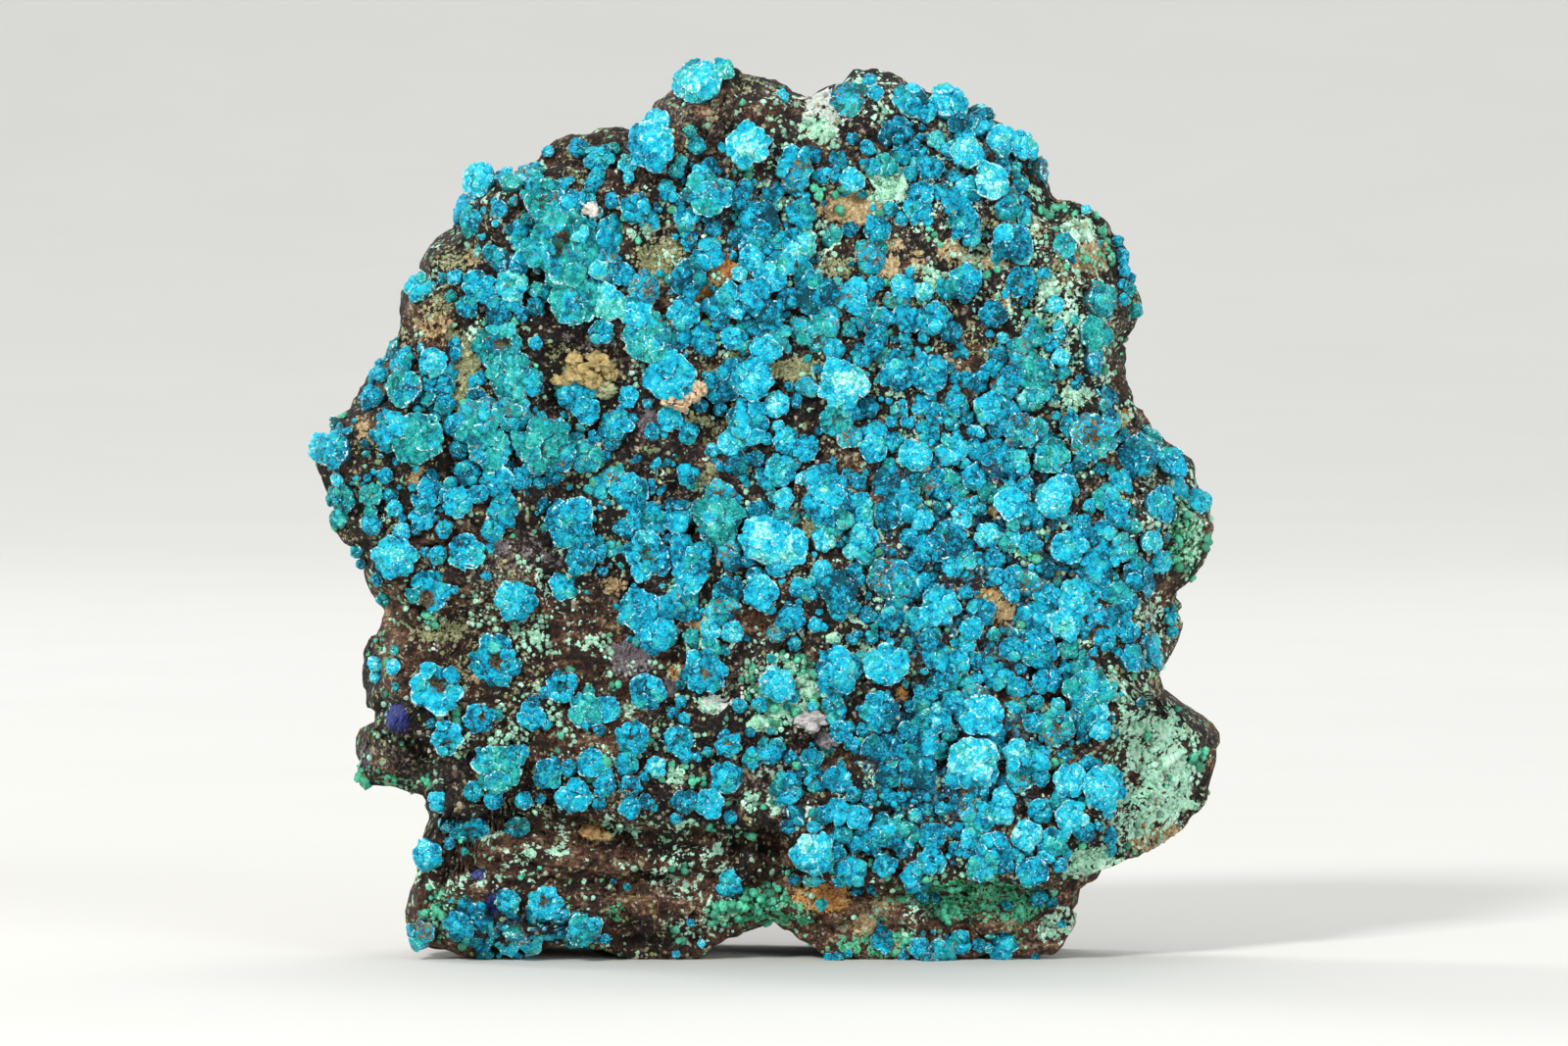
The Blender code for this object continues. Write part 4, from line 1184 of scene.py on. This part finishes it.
@dataclass
class Grains:
    """Green, pale, tan and olive grains scattered over the rock."""

    sown: Sown
    relief: Relief
    spacing: float = 0.34 * MM

    def build(self, finish: bpy.types.Material) -> bpy.types.Object:
        """Sow grains by zone, each in a shade of its zone's colour."""
        points = self.sown.points
        x, z = points[:, 0], points[:, 2]
        inside = 1.0 - 0.8 * smooth_step(self.relief.rim_share(x, z), 0.93, 0.99)
        bare = (rosette_reach(points) > 0.85) * inside
        below = self.relief.below_ledge(x, z)
        kinds = (
            (Zone.MINT, 0.60, 0.27, (0.40, 0.78, 0.56), 0.45),
            (Zone.GREEN, 0.77, 0.40, (0.09, 0.56, 0.34), 0.0),
            (Zone.OLIVE, 0.80, 0.22, (0.38, 0.38, 0.20), 0.45),
            (Zone.WHITE, 0.90, 0.20, (0.74, 0.72, 0.66), 0.45),
            (Zone.TAN, 1.00, 0.24, (0.52, 0.36, 0.19), 0.45),
        )
        parts = []
        draw = np.random.default_rng(82)
        for number, (zone, least, largest, colour, thinned) in enumerate(kinds):
            cover = layered_noise(points, 1.5 * MM, 120 + number, 3) + 1.1 * zone_weight(zone, x, z) - least
            chance = 0.7 * smooth_step(cover, 0.0, 0.2) * bare * (1.0 - thinned * below)
            chosen = self.sown.choose(chance, self.spacing, 83 + number)
            caps = Caps(
                habit=Kind.BALL.value,
                centres=points[chosen],
                outs=unit(self.sown.normals[chosen] + draw.uniform(-0.5, 0.5, (len(chosen), 3))),
                radii=(0.08 + (largest - 0.08) * draw.random(len(chosen)) ** 1.3) * MM,
                tints=draw.uniform(0.0, 1.0, (len(chosen), 3)),
                seed=90 + number,
                ragged=1.6,
                fineness=0.5,
            )
            grown, faces, attributes = joined(caps.build())
            light = 0.55 + 0.9 * attributes["growth"][:, 1:2]
            shade = np.concatenate((light * np.array(colour), np.ones_like(light)), axis=1)
            parts.append((grown, faces, {"shade": shade}))
        grown, faces, attributes = joined(parts)
        piece = new_piece("grains", grown, faces, attributes, finish)
        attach(piece, "root")
        return piece


@dataclass(frozen=True)
class Crumb:
    """One crumb of pale rock: place and half sizes in pixels, height and colour."""

    px: float
    py: float
    half_x: float
    half_z: float
    proud: float
    colour: Colour


CREAM = (0.92, 0.68, 0.44)
TAN = (0.52, 0.40, 0.17)
CHALK = (0.82, 0.78, 0.70)
CRUMBS = (
    Crumb(590, 380, 14, 12, 1.1 * MM, TAN),
    Crumb(612, 370, 15, 12, 1.4 * MM, TAN),
    Crumb(575, 386, 12, 7, 0.8 * MM, TAN),
    Crumb(586, 366, 9, 9, 0.9 * MM, TAN),
    Crumb(606, 386, 11, 10, 1.2 * MM, TAN),
    Crumb(623, 380, 8, 10, 1.0 * MM, TAN),
    Crumb(618, 397, 12, 9, 0.9 * MM, (0.42, 0.44, 0.24)),
    Crumb(684, 409, 8, 5, 2.2 * MM, CREAM),
    Crumb(696, 413, 9, 6, 2.3 * MM, CREAM),
    Crumb(707, 405, 8, 6, 2.1 * MM, CREAM),
    Crumb(715, 396, 7, 8, 1.8 * MM, CREAM),
    Crumb(615, 856, 9, 5, 0.9 * MM, (0.64, 0.46, 0.20)),
    Crumb(604, 215, 9, 8, 1.0 * MM, CHALK),
    Crumb(602, 848, 12, 8, 1.0 * MM, (0.70, 0.42, 0.18)),
    Crumb(785, 690, 8, 7, 1.5 * MM, CHALK),
    Crumb(828, 733, 17, 10, 1.2 * MM, (0.50, 0.48, 0.48)),
    Crumb(848, 746, 13, 8, 1.0 * MM, (0.28, 0.25, 0.27)),
)


@dataclass
class Crumbs:
    """The loose-looking crumbs of tan, cream and white that are grown fast in the crust."""

    relief: Relief
    around: int = 26
    rings: int = 12
    sunk: float = 0.1 * MM

    def build(self, finish: bpy.types.Material) -> bpy.types.Object:
        """Stretch a ball to each crumb's half sizes and push it about by layered noise, up to its height."""
        angle = 2.0 * np.pi * np.arange(self.around) / self.around
        tilt = np.pi * np.arange(1, self.rings + 1)[:, None] / (self.rings + 1)
        rounds = (np.sin(tilt) * np.cos(angle), np.sin(tilt) * np.sin(angle), np.cos(tilt) + 0.0 * angle)
        ball = np.vstack(((0.0, 0.0, 1.0), np.stack(rounds, axis=-1).reshape(-1, 3), (0.0, 0.0, -1.0)))
        parts = []
        for number, crumb in enumerate(CRUMBS):
            centre, normal = self.relief.place(across([crumb.px]), up([crumb.py]))
            first = unit(np.cross(np.array((0.0, 0.0, 1.0)), normal))
            second = np.cross(normal, first)
            folds = layered_noise(ball + 5.0 * number, 0.75, 101, 3)[:, None]
            lumpy = 1.25 - 1.15 * np.abs(folds) + 0.25 * folds
            half_sizes = np.array((crumb.half_x * PIXEL, crumb.half_z * PIXEL, 0.5 * crumb.proud + self.sunk))
            body = ball * lumpy * half_sizes + np.array((0.0, 0.0, 0.5 * crumb.proud))
            points = centre + body[:, 0:1] * first + body[:, 1:2] * second + body[:, 2:3] * normal
            shade = np.tile(np.array((*crumb.colour, 1.0)), (len(points), 1))
            parts.append((points, cap_faces(1, self.around, self.rings), {"shade": shade}))
        points, faces, attributes = joined(parts)
        piece = new_piece("crumbs", points, faces, attributes, finish)
        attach(piece, "root")
        return piece


Socket = bpy.types.NodeSocket
Value = Socket | float | Colour
SHEEN_ROUGHNESS = 0.45


def colour_of(code: str) -> Colour:
    """The linear colour of a six-figure screen colour."""
    channels = [int(code[i : i + 2], 16) / 255.0 for i in (0, 2, 4)]
    linear = [c / 12.92 if c <= 0.04045 else ((c + 0.055) / 1.055) ** 2.4 for c in channels]
    return (linear[0], linear[1], linear[2])


class Graph:
    """The nodes of one finish, added one after another."""

    def __init__(self, name: str) -> None:
        """Start a material with a Principled BSDF and object coordinates."""
        self.material = bpy.data.materials.new(name)
        self.material.use_nodes = True
        self.tree = self.material.node_tree
        self.shader = self.tree.nodes["Principled BSDF"]
        self.coordinates = self.tree.nodes.new("ShaderNodeTexCoord").outputs["Object"]

    def feed(self, socket: Socket, value: Value) -> None:
        """Link a socket to another, or set its own value."""
        if isinstance(value, Socket):
            self.tree.links.new(value, socket)
        elif isinstance(value, tuple):
            socket.default_value = (*value, 1.0)
        else:
            socket.default_value = value

    def node(self, kind: str, inputs: dict[str | int, Value], **settings: str) -> bpy.types.Node:
        """A new node: its settings are made first, and then each named input is linked or set."""
        node = self.tree.nodes.new("ShaderNode" + kind)
        for name, setting in settings.items():
            setattr(node, name, setting)
        for name, value in inputs.items():
            self.feed(node.inputs[name], value)
        return node

    def stretched(self, x: float, y: float, z: float) -> Socket:
        """Object coordinates multiplied along each axis."""
        node = self.node("Mapping", {"Vector": self.coordinates})
        node.inputs["Scale"].default_value = (x, y, z)
        return node.outputs["Vector"]

    def noise(
        self, size: float, detail: float = 3.0, rough: float = 0.55, vector: Socket | None = None
    ) -> Socket:
        """Noise from 0 to 1 whose largest lumps are as wide as size."""
        place = vector or self.coordinates
        inputs = {"Scale": 1.0 / size, "Detail": detail, "Roughness": rough, "Vector": place}
        return self.node("TexNoise", inputs).outputs["Fac"]

    def cells(self, size: float, output: str = "Distance") -> Socket:
        """Packed cells as wide as size: the distance to the nearest middle, or that cell's own colour."""
        return self.node("TexVoronoi", {"Scale": 1.0 / size, "Vector": self.coordinates}).outputs[output]

    def split(self, colour: Socket) -> tuple[Socket, Socket, Socket]:
        """A colour's red, green and blue."""
        outputs = self.node("SeparateColor", {"Color": colour}).outputs
        return outputs["Red"], outputs["Green"], outputs["Blue"]

    def channels(self, name: str) -> tuple[Socket, Socket, Socket, Socket]:
        """The four numbers of an attribute."""
        outputs = self.node("Attribute", {}, attribute_name=name).outputs
        return *self.split(outputs["Color"]), outputs["Alpha"]

    def attribute(self, name: str) -> Socket:
        """An attribute's colour."""
        return self.node("Attribute", {}, attribute_name=name).outputs["Color"]

    def math(self, operation: str, *values: Socket | float) -> Socket:
        """One sum on up to three numbers."""
        return self.node("Math", dict(enumerate(values)), operation=operation).outputs["Value"]

    def total(self, *terms: tuple[Socket, float], start: float = 0.0) -> Socket:
        """Start plus each socket times its weight."""
        value: Socket | float = start
        for socket, weight in terms:
            value = self.math("MULTIPLY_ADD", socket, weight, value)
        return value

    def step(self, value: Socket, low: float, high: float) -> Socket:
        """A soft S from 0 at low to 1 at high, which may be the lesser."""
        inputs = {"Value": value, "From Min": low, "From Max": high}
        return self.node("MapRange", inputs, interpolation_type="SMOOTHSTEP").outputs["Result"]

    def blend(self, share: Socket | float, low: Socket | Colour, high: Socket | Colour) -> Socket:
        """The low colour where share is 0 and the high one where it is 1."""
        return self.node("Mix", {"Factor": share, 6: low, 7: high}, data_type="RGBA").outputs[2]

    def ramp(self, value: Socket, stops: tuple[tuple[float, str], ...]) -> Socket:
        """A run of colours by value."""
        node = self.node("ValToRGB", {"Fac": value})
        elements = node.color_ramp.elements
        for position, _ in stops[2:]:
            elements.new(position)
        for element, (position, _) in zip(elements, stops):
            element.position = position
        for element, (_, code) in zip(elements, stops):
            element.color = (*colour_of(code), 1.0)
        return node.outputs["Color"]

    def bump(self, height: Socket, distance: float, strength: float) -> None:
        """Give the shader the small relief of height."""
        node = self.node("Bump", {"Height": height, "Distance": distance, "Strength": strength})
        self.tree.links.new(node.outputs["Normal"], self.shader.inputs["Normal"])

    def surface(self, colour: Socket, roughness: Socket | float, specular: float, sheen: float = 0.0) -> None:
        """Set the shader's own values. Specular and sheen are the same all over."""
        names = ("Base Color", "Roughness", "Specular IOR Level", "Sheen Weight", "Sheen Roughness")
        for name, value in zip(names, (colour, roughness, specular, sheen, SHEEN_ROUGHNESS)):
            self.feed(self.shader.inputs[name], value)


@dataclass(frozen=True)
class LavendulanFinish:
    """Felted blue crystals: painted shade makes them deep in the creases and on the sides under the rims, a
    pale frost on the rims and crests is partly a painted highlight, and brown lies in the hollows.
    """

    name: str = "lavendulan"
    grain: float = 0.13 * MM
    mottle: float = 0.42 * MM

    def make(self) -> bpy.types.Material:
        """Build the material."""
        graph = Graph(self.name)
        rim, tone, teal, crest_shading_and_dirt = graph.channels("growth")
        # dirt is the brown of the hollows; under, how far down a side a point lies, gives painted shade on
        # the sides beneath the rims.
        dirt, under, _, hollow = graph.channels("dirt_and_shade")
        mottle = graph.noise(self.mottle, 4.0, 0.65)
        patch = graph.noise(2.4 * MM, 2.0)
        grains = graph.cells(self.grain)
        chance = graph.split(graph.cells(self.grain, "Color"))[0]

        # Lighter on the crests and darker in the creases and on the sides under the rims, which is painted
        # light and shade, over the rosette's own tone and a random mottle.
        value = graph.total(
            (tone, 0.9), (crest_shading_and_dirt, 0.50), (mottle, 1.15), (patch, 0.40), (grains, -0.30), (chance, 0.18),
            (under, -0.58), start=-1.00,
        )
        blue = graph.ramp(
            value,
            (
                (0.00, "05404e"), (0.18, "066e8e"), (0.38, "0a9fc2"), (0.58, "14bcda"), (0.76, "3acee2"),
                (0.90, "84e4ee"), (1.00, "c8f4f2"),
            ),
        )
        green = graph.ramp(value, ((0.0, "0e5a5e"), (0.35, "1a9c98"), (0.7, "50c8bc"), (1.0, "b4ecdc")))
        tinge = graph.noise(1.1 * MM, 3.0, 0.6)
        greenness = graph.step(graph.total((teal, 1.0), (tinge, 2.2), (patch, 0.8), start=-1.42), 0.15, 0.70)
        colour = graph.blend(greenness, blue, green)

        crumbs = graph.noise(0.26 * MM, 3.0, 0.7)
        brown = graph.ramp(crumbs, ((0.30, "1c140e"), (0.48, "4c3a28"), (0.62, "84724a"), (0.75, "b0a070")))
        dirty = graph.total(
            (dirt, 0.54), (tinge, -1.0), (crumbs, 1.3), (mottle, 0.5), (crest_shading_and_dirt, -0.30), start=-0.28
        )
        colour = graph.blend(graph.step(dirty, 0.40, 0.50), colour, brown)

        # Pale frost on the rims and crests: partly the crystals' own pale frosting, partly a painted
        # highlight.
        pale = graph.ramp(chance, ((0.0, "58c8e4"), (0.5, "a8e6ee"), (1.0, "e0f8f4")))
        frost_and_highlight = graph.total(
            (rim, 0.72), (crest_shading_and_dirt, 0.26), (tone, 0.30), (chance, 0.62), (grains, -0.35), start=-0.52
        )
        colour = graph.blend(graph.step(frost_and_highlight, 0.36, 0.74), colour, pale)
        graph.surface(colour, graph.total((mottle, 0.2), start=0.52), specular=0.14, sheen=0.02)
        graph.bump(graph.total((grains, -0.6), (mottle, 1.0), (chance, 0.25)), 0.16 * MM, 0.85)
        return graph.material


@dataclass(frozen=True)
class RockFinish:
    """Iron-stained matrix with the crusts of each zone spread over it in specks."""

    name: str = "matrix"
    speck: float = 0.30 * MM

    def make(self) -> bpy.types.Material:
        """Build the material."""
        graph = Graph(self.name)
        brown, olive, tan, orange = graph.channels("zones_a")
        mint, green, white, mauve = graph.channels("zones_b")
        azurite, blue, behind, _ = graph.channels("zones_c")
        coarse = graph.noise(2.2 * MM, 4.0, 0.6)
        medium = graph.noise(0.75 * MM, 3.0, 0.6)
        fine = graph.noise(0.24 * MM, 3.0, 0.7)
        other = graph.noise(0.30 * MM, 3.0, 0.7, graph.stretched(1.1, 0.9, 1.0))
        large = graph.noise(6.0 * MM, 3.0, 0.55)
        round_ones = graph.math("SUBTRACT", 1.0, graph.cells(0.46 * MM))
        spot = graph.cells(self.speck)
        chance = graph.split(graph.cells(self.speck, "Color"))[0]
        beds = graph.noise(0.55 * MM, 4.0, 0.65, graph.stretched(0.22, 0.3, 1.0))

        shade = graph.total((large, 0.9), (coarse, 0.6), (fine, 1.8), (chance, 0.22), start=-1.27)
        colour = graph.ramp(
            shade,
            (
                (0.0, "040303"), (0.38, "120e0c"), (0.56, "261e19"),
                (0.70, "4a3e35"), (0.84, "84766a"), (1.0, "b8aa98"),
            ),
        )
        bedded = graph.total((large, 1.3), (beds, 1.2), (fine, 1.3), (medium, 0.6), start=-1.73)
        strata = graph.ramp(
            bedded,
            (
                (0.0, "070504"), (0.3, "1e140f"), (0.5, "40291e"),
                (0.68, "684a37"), (0.84, "96795f"), (1.0, "c2aa8e"),
            ),
        )
        browned = graph.step(graph.total((brown, 1.0), (coarse, 0.6), (fine, 0.5), start=-0.70), 0.1, 0.45)
        colour = graph.blend(browned, colour, strata)
        tones = (
            (0.0, "6a5c4c"), (0.80, "5e5040"), (0.87, "b0a898"),
            (0.93, "8c8450"), (0.97, "6fb890"), (1.0, "b4e6c8"),
        )
        scattered = graph.total((medium, 1.0), (chance, 0.3), (spot, -0.4), start=-0.1)
        sparse = graph.step(graph.total((chance, 1.0), (behind, -0.24)), 0.66, 0.72)
        specks = graph.math("MULTIPLY", sparse, graph.step(scattered, 0.44, 0.50))
        specks = graph.math("MULTIPLY", specks, graph.total((behind, -0.8), start=1.0))
        colour = graph.blend(specks, colour, graph.ramp(chance, tones))

        def laid(
            weight: Socket, over: Socket, codes: tuple[str, str, str], small: Socket, reach: float = 0.0
        ) -> Socket:
            """A zone's colours over what is there: in specks at a low weight and closed at a high one."""
            crust = graph.ramp(shade, ((0.0, codes[0]), (0.42, codes[1]), (0.85, codes[2])))
            cover = graph.total((weight, 1.0), (medium, 1.3), (small, 1.7), start=reach - 2.14)
            return graph.blend(graph.step(cover, 0.0, 0.10), over, crust)

        colour = laid(mauve, colour, ("2a2629", "5b5256", "8e8488"), fine)
        colour = laid(blue, colour, ("053c52", "0a6488", "2ea6c4"), other, -0.25)
        colour = laid(olive, colour, ("484a2e", "868a60", "bcbc94"), fine)
        colour = laid(tan, colour, ("5e4a30", "ac9064", "dccca4"), other, 0.1)
        colour = laid(orange, colour, ("643a1c", "b4763a", "dcae70"), fine, 0.1)
        flecks = graph.total((round_ones, 0.45), (fine, 0.60))
        colour = laid(green, colour, ("0c5236", "2a9a68", "7ad4aa"), flecks, -0.10)
        colour = laid(mint, colour, ("66bc96", "b0ecca", "e4faec"), flecks)
        colour = laid(azurite, colour, ("14183c", "2c3a84", "5a62a8"), other, 0.0)
        colour = laid(white, colour, ("a4b4a8", "dce6dc", "f6f8f2"), flecks, 0.02)
        graph.surface(colour, graph.total((fine, 0.3), start=0.55), specular=0.28)
        relief = graph.total((fine, 1.0), (spot, -0.5), (medium, 0.8), (beds, 0.3), (round_ones, 0.5))
        graph.bump(relief, 0.30 * MM, 1.0)
        return graph.material


@dataclass(frozen=True)
class GrainFinish:
    """Small grains and crumbs, each in its own colour with a fine mottle, the pits of its bump darkened as
    painted shade.
    """

    name: str
    size: float
    pit_shade: float = 0.62

    def make(self) -> bpy.types.Material:
        """Build the material."""
        graph = Graph(self.name)
        mottle = graph.noise(self.size, 4.0, 0.65)
        pits = graph.noise(2.6 * self.size, 3.0, 0.6)
        shade = graph.attribute("shade")
        # Painted shade: by this share, the pits (the low parts of the bump) are darkened towards near black.
        dark = graph.blend(self.pit_shade, shade, (0.02, 0.015, 0.01))
        raised = graph.step(graph.total((mottle, 0.7), (pits, 0.5), start=-0.1), 0.34, 0.62)
        colour = graph.blend(raised, dark, shade)
        graph.surface(colour, 0.62, specular=0.3)
        graph.bump(graph.total((mottle, 1.0), (pits, 0.8)), 0.12 * MM, 0.8)
        return graph.material


@dataclass
class Studio:
    """The pale floor, the soft lights and the camera."""

    middle: Vector
    frame_width: float = 1600 * PIXEL
    lens_mm: float = 200.0
    sensor_mm: float = 36.0
    elevation_deg: float = 1.5
    flat_reach: float = 0.90
    sweep_radius: float = 2.4
    sweep_deg: float = 50.0

    def floor(self) -> None:
        """A wide pale floor, level out to its flat reach and then curved up all round in an arc."""
        turns = 96
        angle = 2.0 * np.pi * np.arange(turns) / turns
        climb = np.radians(np.linspace(0.0, self.sweep_deg, 16))[:, None]
        reach = self.flat_reach + self.sweep_radius * np.sin(climb)
        height = self.sweep_radius * (1.0 - np.cos(climb))
        rings = np.stack((reach * np.cos(angle), reach * np.sin(angle), height + 0.0 * angle), axis=-1)
        points = np.vstack((np.zeros((1, 3)), rings.reshape(-1, 3)))
        grid = 1 + np.arange(rings.shape[0] * turns).reshape(-1, turns)
        level = np.stack((np.zeros(turns, int), grid[0], np.roll(grid[0], -1)), axis=-1)
        graph = Graph("floor")
        tint = graph.blend(graph.noise(0.05, 2.0), colour_of("d6d5d1"), colour_of("dbdad6"))
        graph.surface(tint, 0.8, specular=0.1)
        piece = new_piece("floor", points, [ring_quads(grid), level], {}, graph.material)

    def lamp(
        self,
        name: str,
        place: tuple[float, float, float],
        size: float,
        power: float,
        warmth: Colour,
        target: tuple[float, float, float] | None = None,
    ) -> None:
        """One square soft light that looks at its target or else at the specimen."""
        light = bpy.data.lights.new(name, "AREA")
        light.shape = "SQUARE"
        light.size = size
        light.energy = power
        light.color = warmth
        lamp = bpy.data.objects.new(name, light)
        lamp.location = place
        aim = self.middle if target is None else Vector(target)
        lamp.rotation_euler = (aim - Vector(place)).to_track_quat("-Z", "Y").to_euler()
        bpy.context.scene.collection.objects.link(lamp)

    def lights(self) -> None:
        """Key from the upper left, fill from the right, a ceiling, two lights behind, one on the floor."""
        self.lamp("key", (-0.40, -0.70, 0.56), 0.16, 7.4, (1.0, 0.99, 0.96))
        self.lamp("fill", (0.55, -0.75, 0.20), 0.40, 4.3, (0.96, 0.98, 1.0))
        self.lamp("ceiling", (0.0, 0.9, 2.2), 3.0, 15.0, (1.0, 1.0, 1.0))
        self.lamp("behind_left", (-0.80, 0.50, 0.45), 0.30, 4.0, (1.0, 1.0, 1.0))
        self.lamp("behind_right", (0.60, 0.60, 0.30), 0.40, 1.0, (1.0, 1.0, 1.0))
        self.lamp("backdrop", (0.0, 0.8, 1.5), 1.0, 9.0, (1.0, 1.0, 1.0), (0.0, 1.9, 0.0))
        world = bpy.data.worlds.new("pale_room")
        world.use_nodes = True
        background = world.node_tree.nodes["Background"]
        background.inputs["Color"].default_value = (0.86, 0.88, 0.90, 1.0)
        background.inputs["Strength"].default_value = 0.50
        bpy.context.scene.world = world
        bpy.context.scene.view_settings.view_transform = "Standard"

    def camera(self) -> None:
        """The photograph's view: level with the face, a little above the ground, with the picture's width."""
        camera = bpy.data.cameras.new("camera")
        camera.lens = self.lens_mm
        camera.sensor_width = self.sensor_mm
        camera.clip_start = 0.01
        camera.clip_end = 20.0
        away = self.frame_width * self.lens_mm / self.sensor_mm
        rise = math.radians(self.elevation_deg)
        holder = bpy.data.objects.new("camera", camera)
        holder.location = self.middle + away * Vector((0.0, -math.cos(rise), math.sin(rise)))
        holder.rotation_euler = (self.middle - holder.location).to_track_quat("-Z", "Y").to_euler()
        bpy.context.scene.collection.objects.link(holder)
        bpy.context.scene.camera = holder


def main() -> None:
    """Load the frame, build every piece in order and note the sizes."""
    logging.basicConfig(level=logging.INFO, format="%(name)s: %(message)s")
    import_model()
    relief = Relief()
    studio = Studio(Vector((float(across(800.0)), -0.006, float(up(533.5)))))
    studio.camera()
    studio.floor()
    studio.lights()

    rock_finish = RockFinish().make()
    blue_finish = LavendulanFinish().make()
    grain_finish = GrainFinish("green_grains", 0.12 * MM).make()
    crumb_finish = GrainFinish("pale_crumbs", 0.3 * MM, 0.42).make()

    rock = Matrix(relief)
    sown = rock.build(rock_finish)
    for number, name in enumerate(DISTRICTS):
        District(name, relief, rock, 200 + 40 * number).build(blue_finish)
    SmallGrowths(sown).build(blue_finish)
    Grains(sown, relief).build(grain_finish)
    Crumbs(relief).build(crumb_finish)


if __name__ == "__main__":
    main()
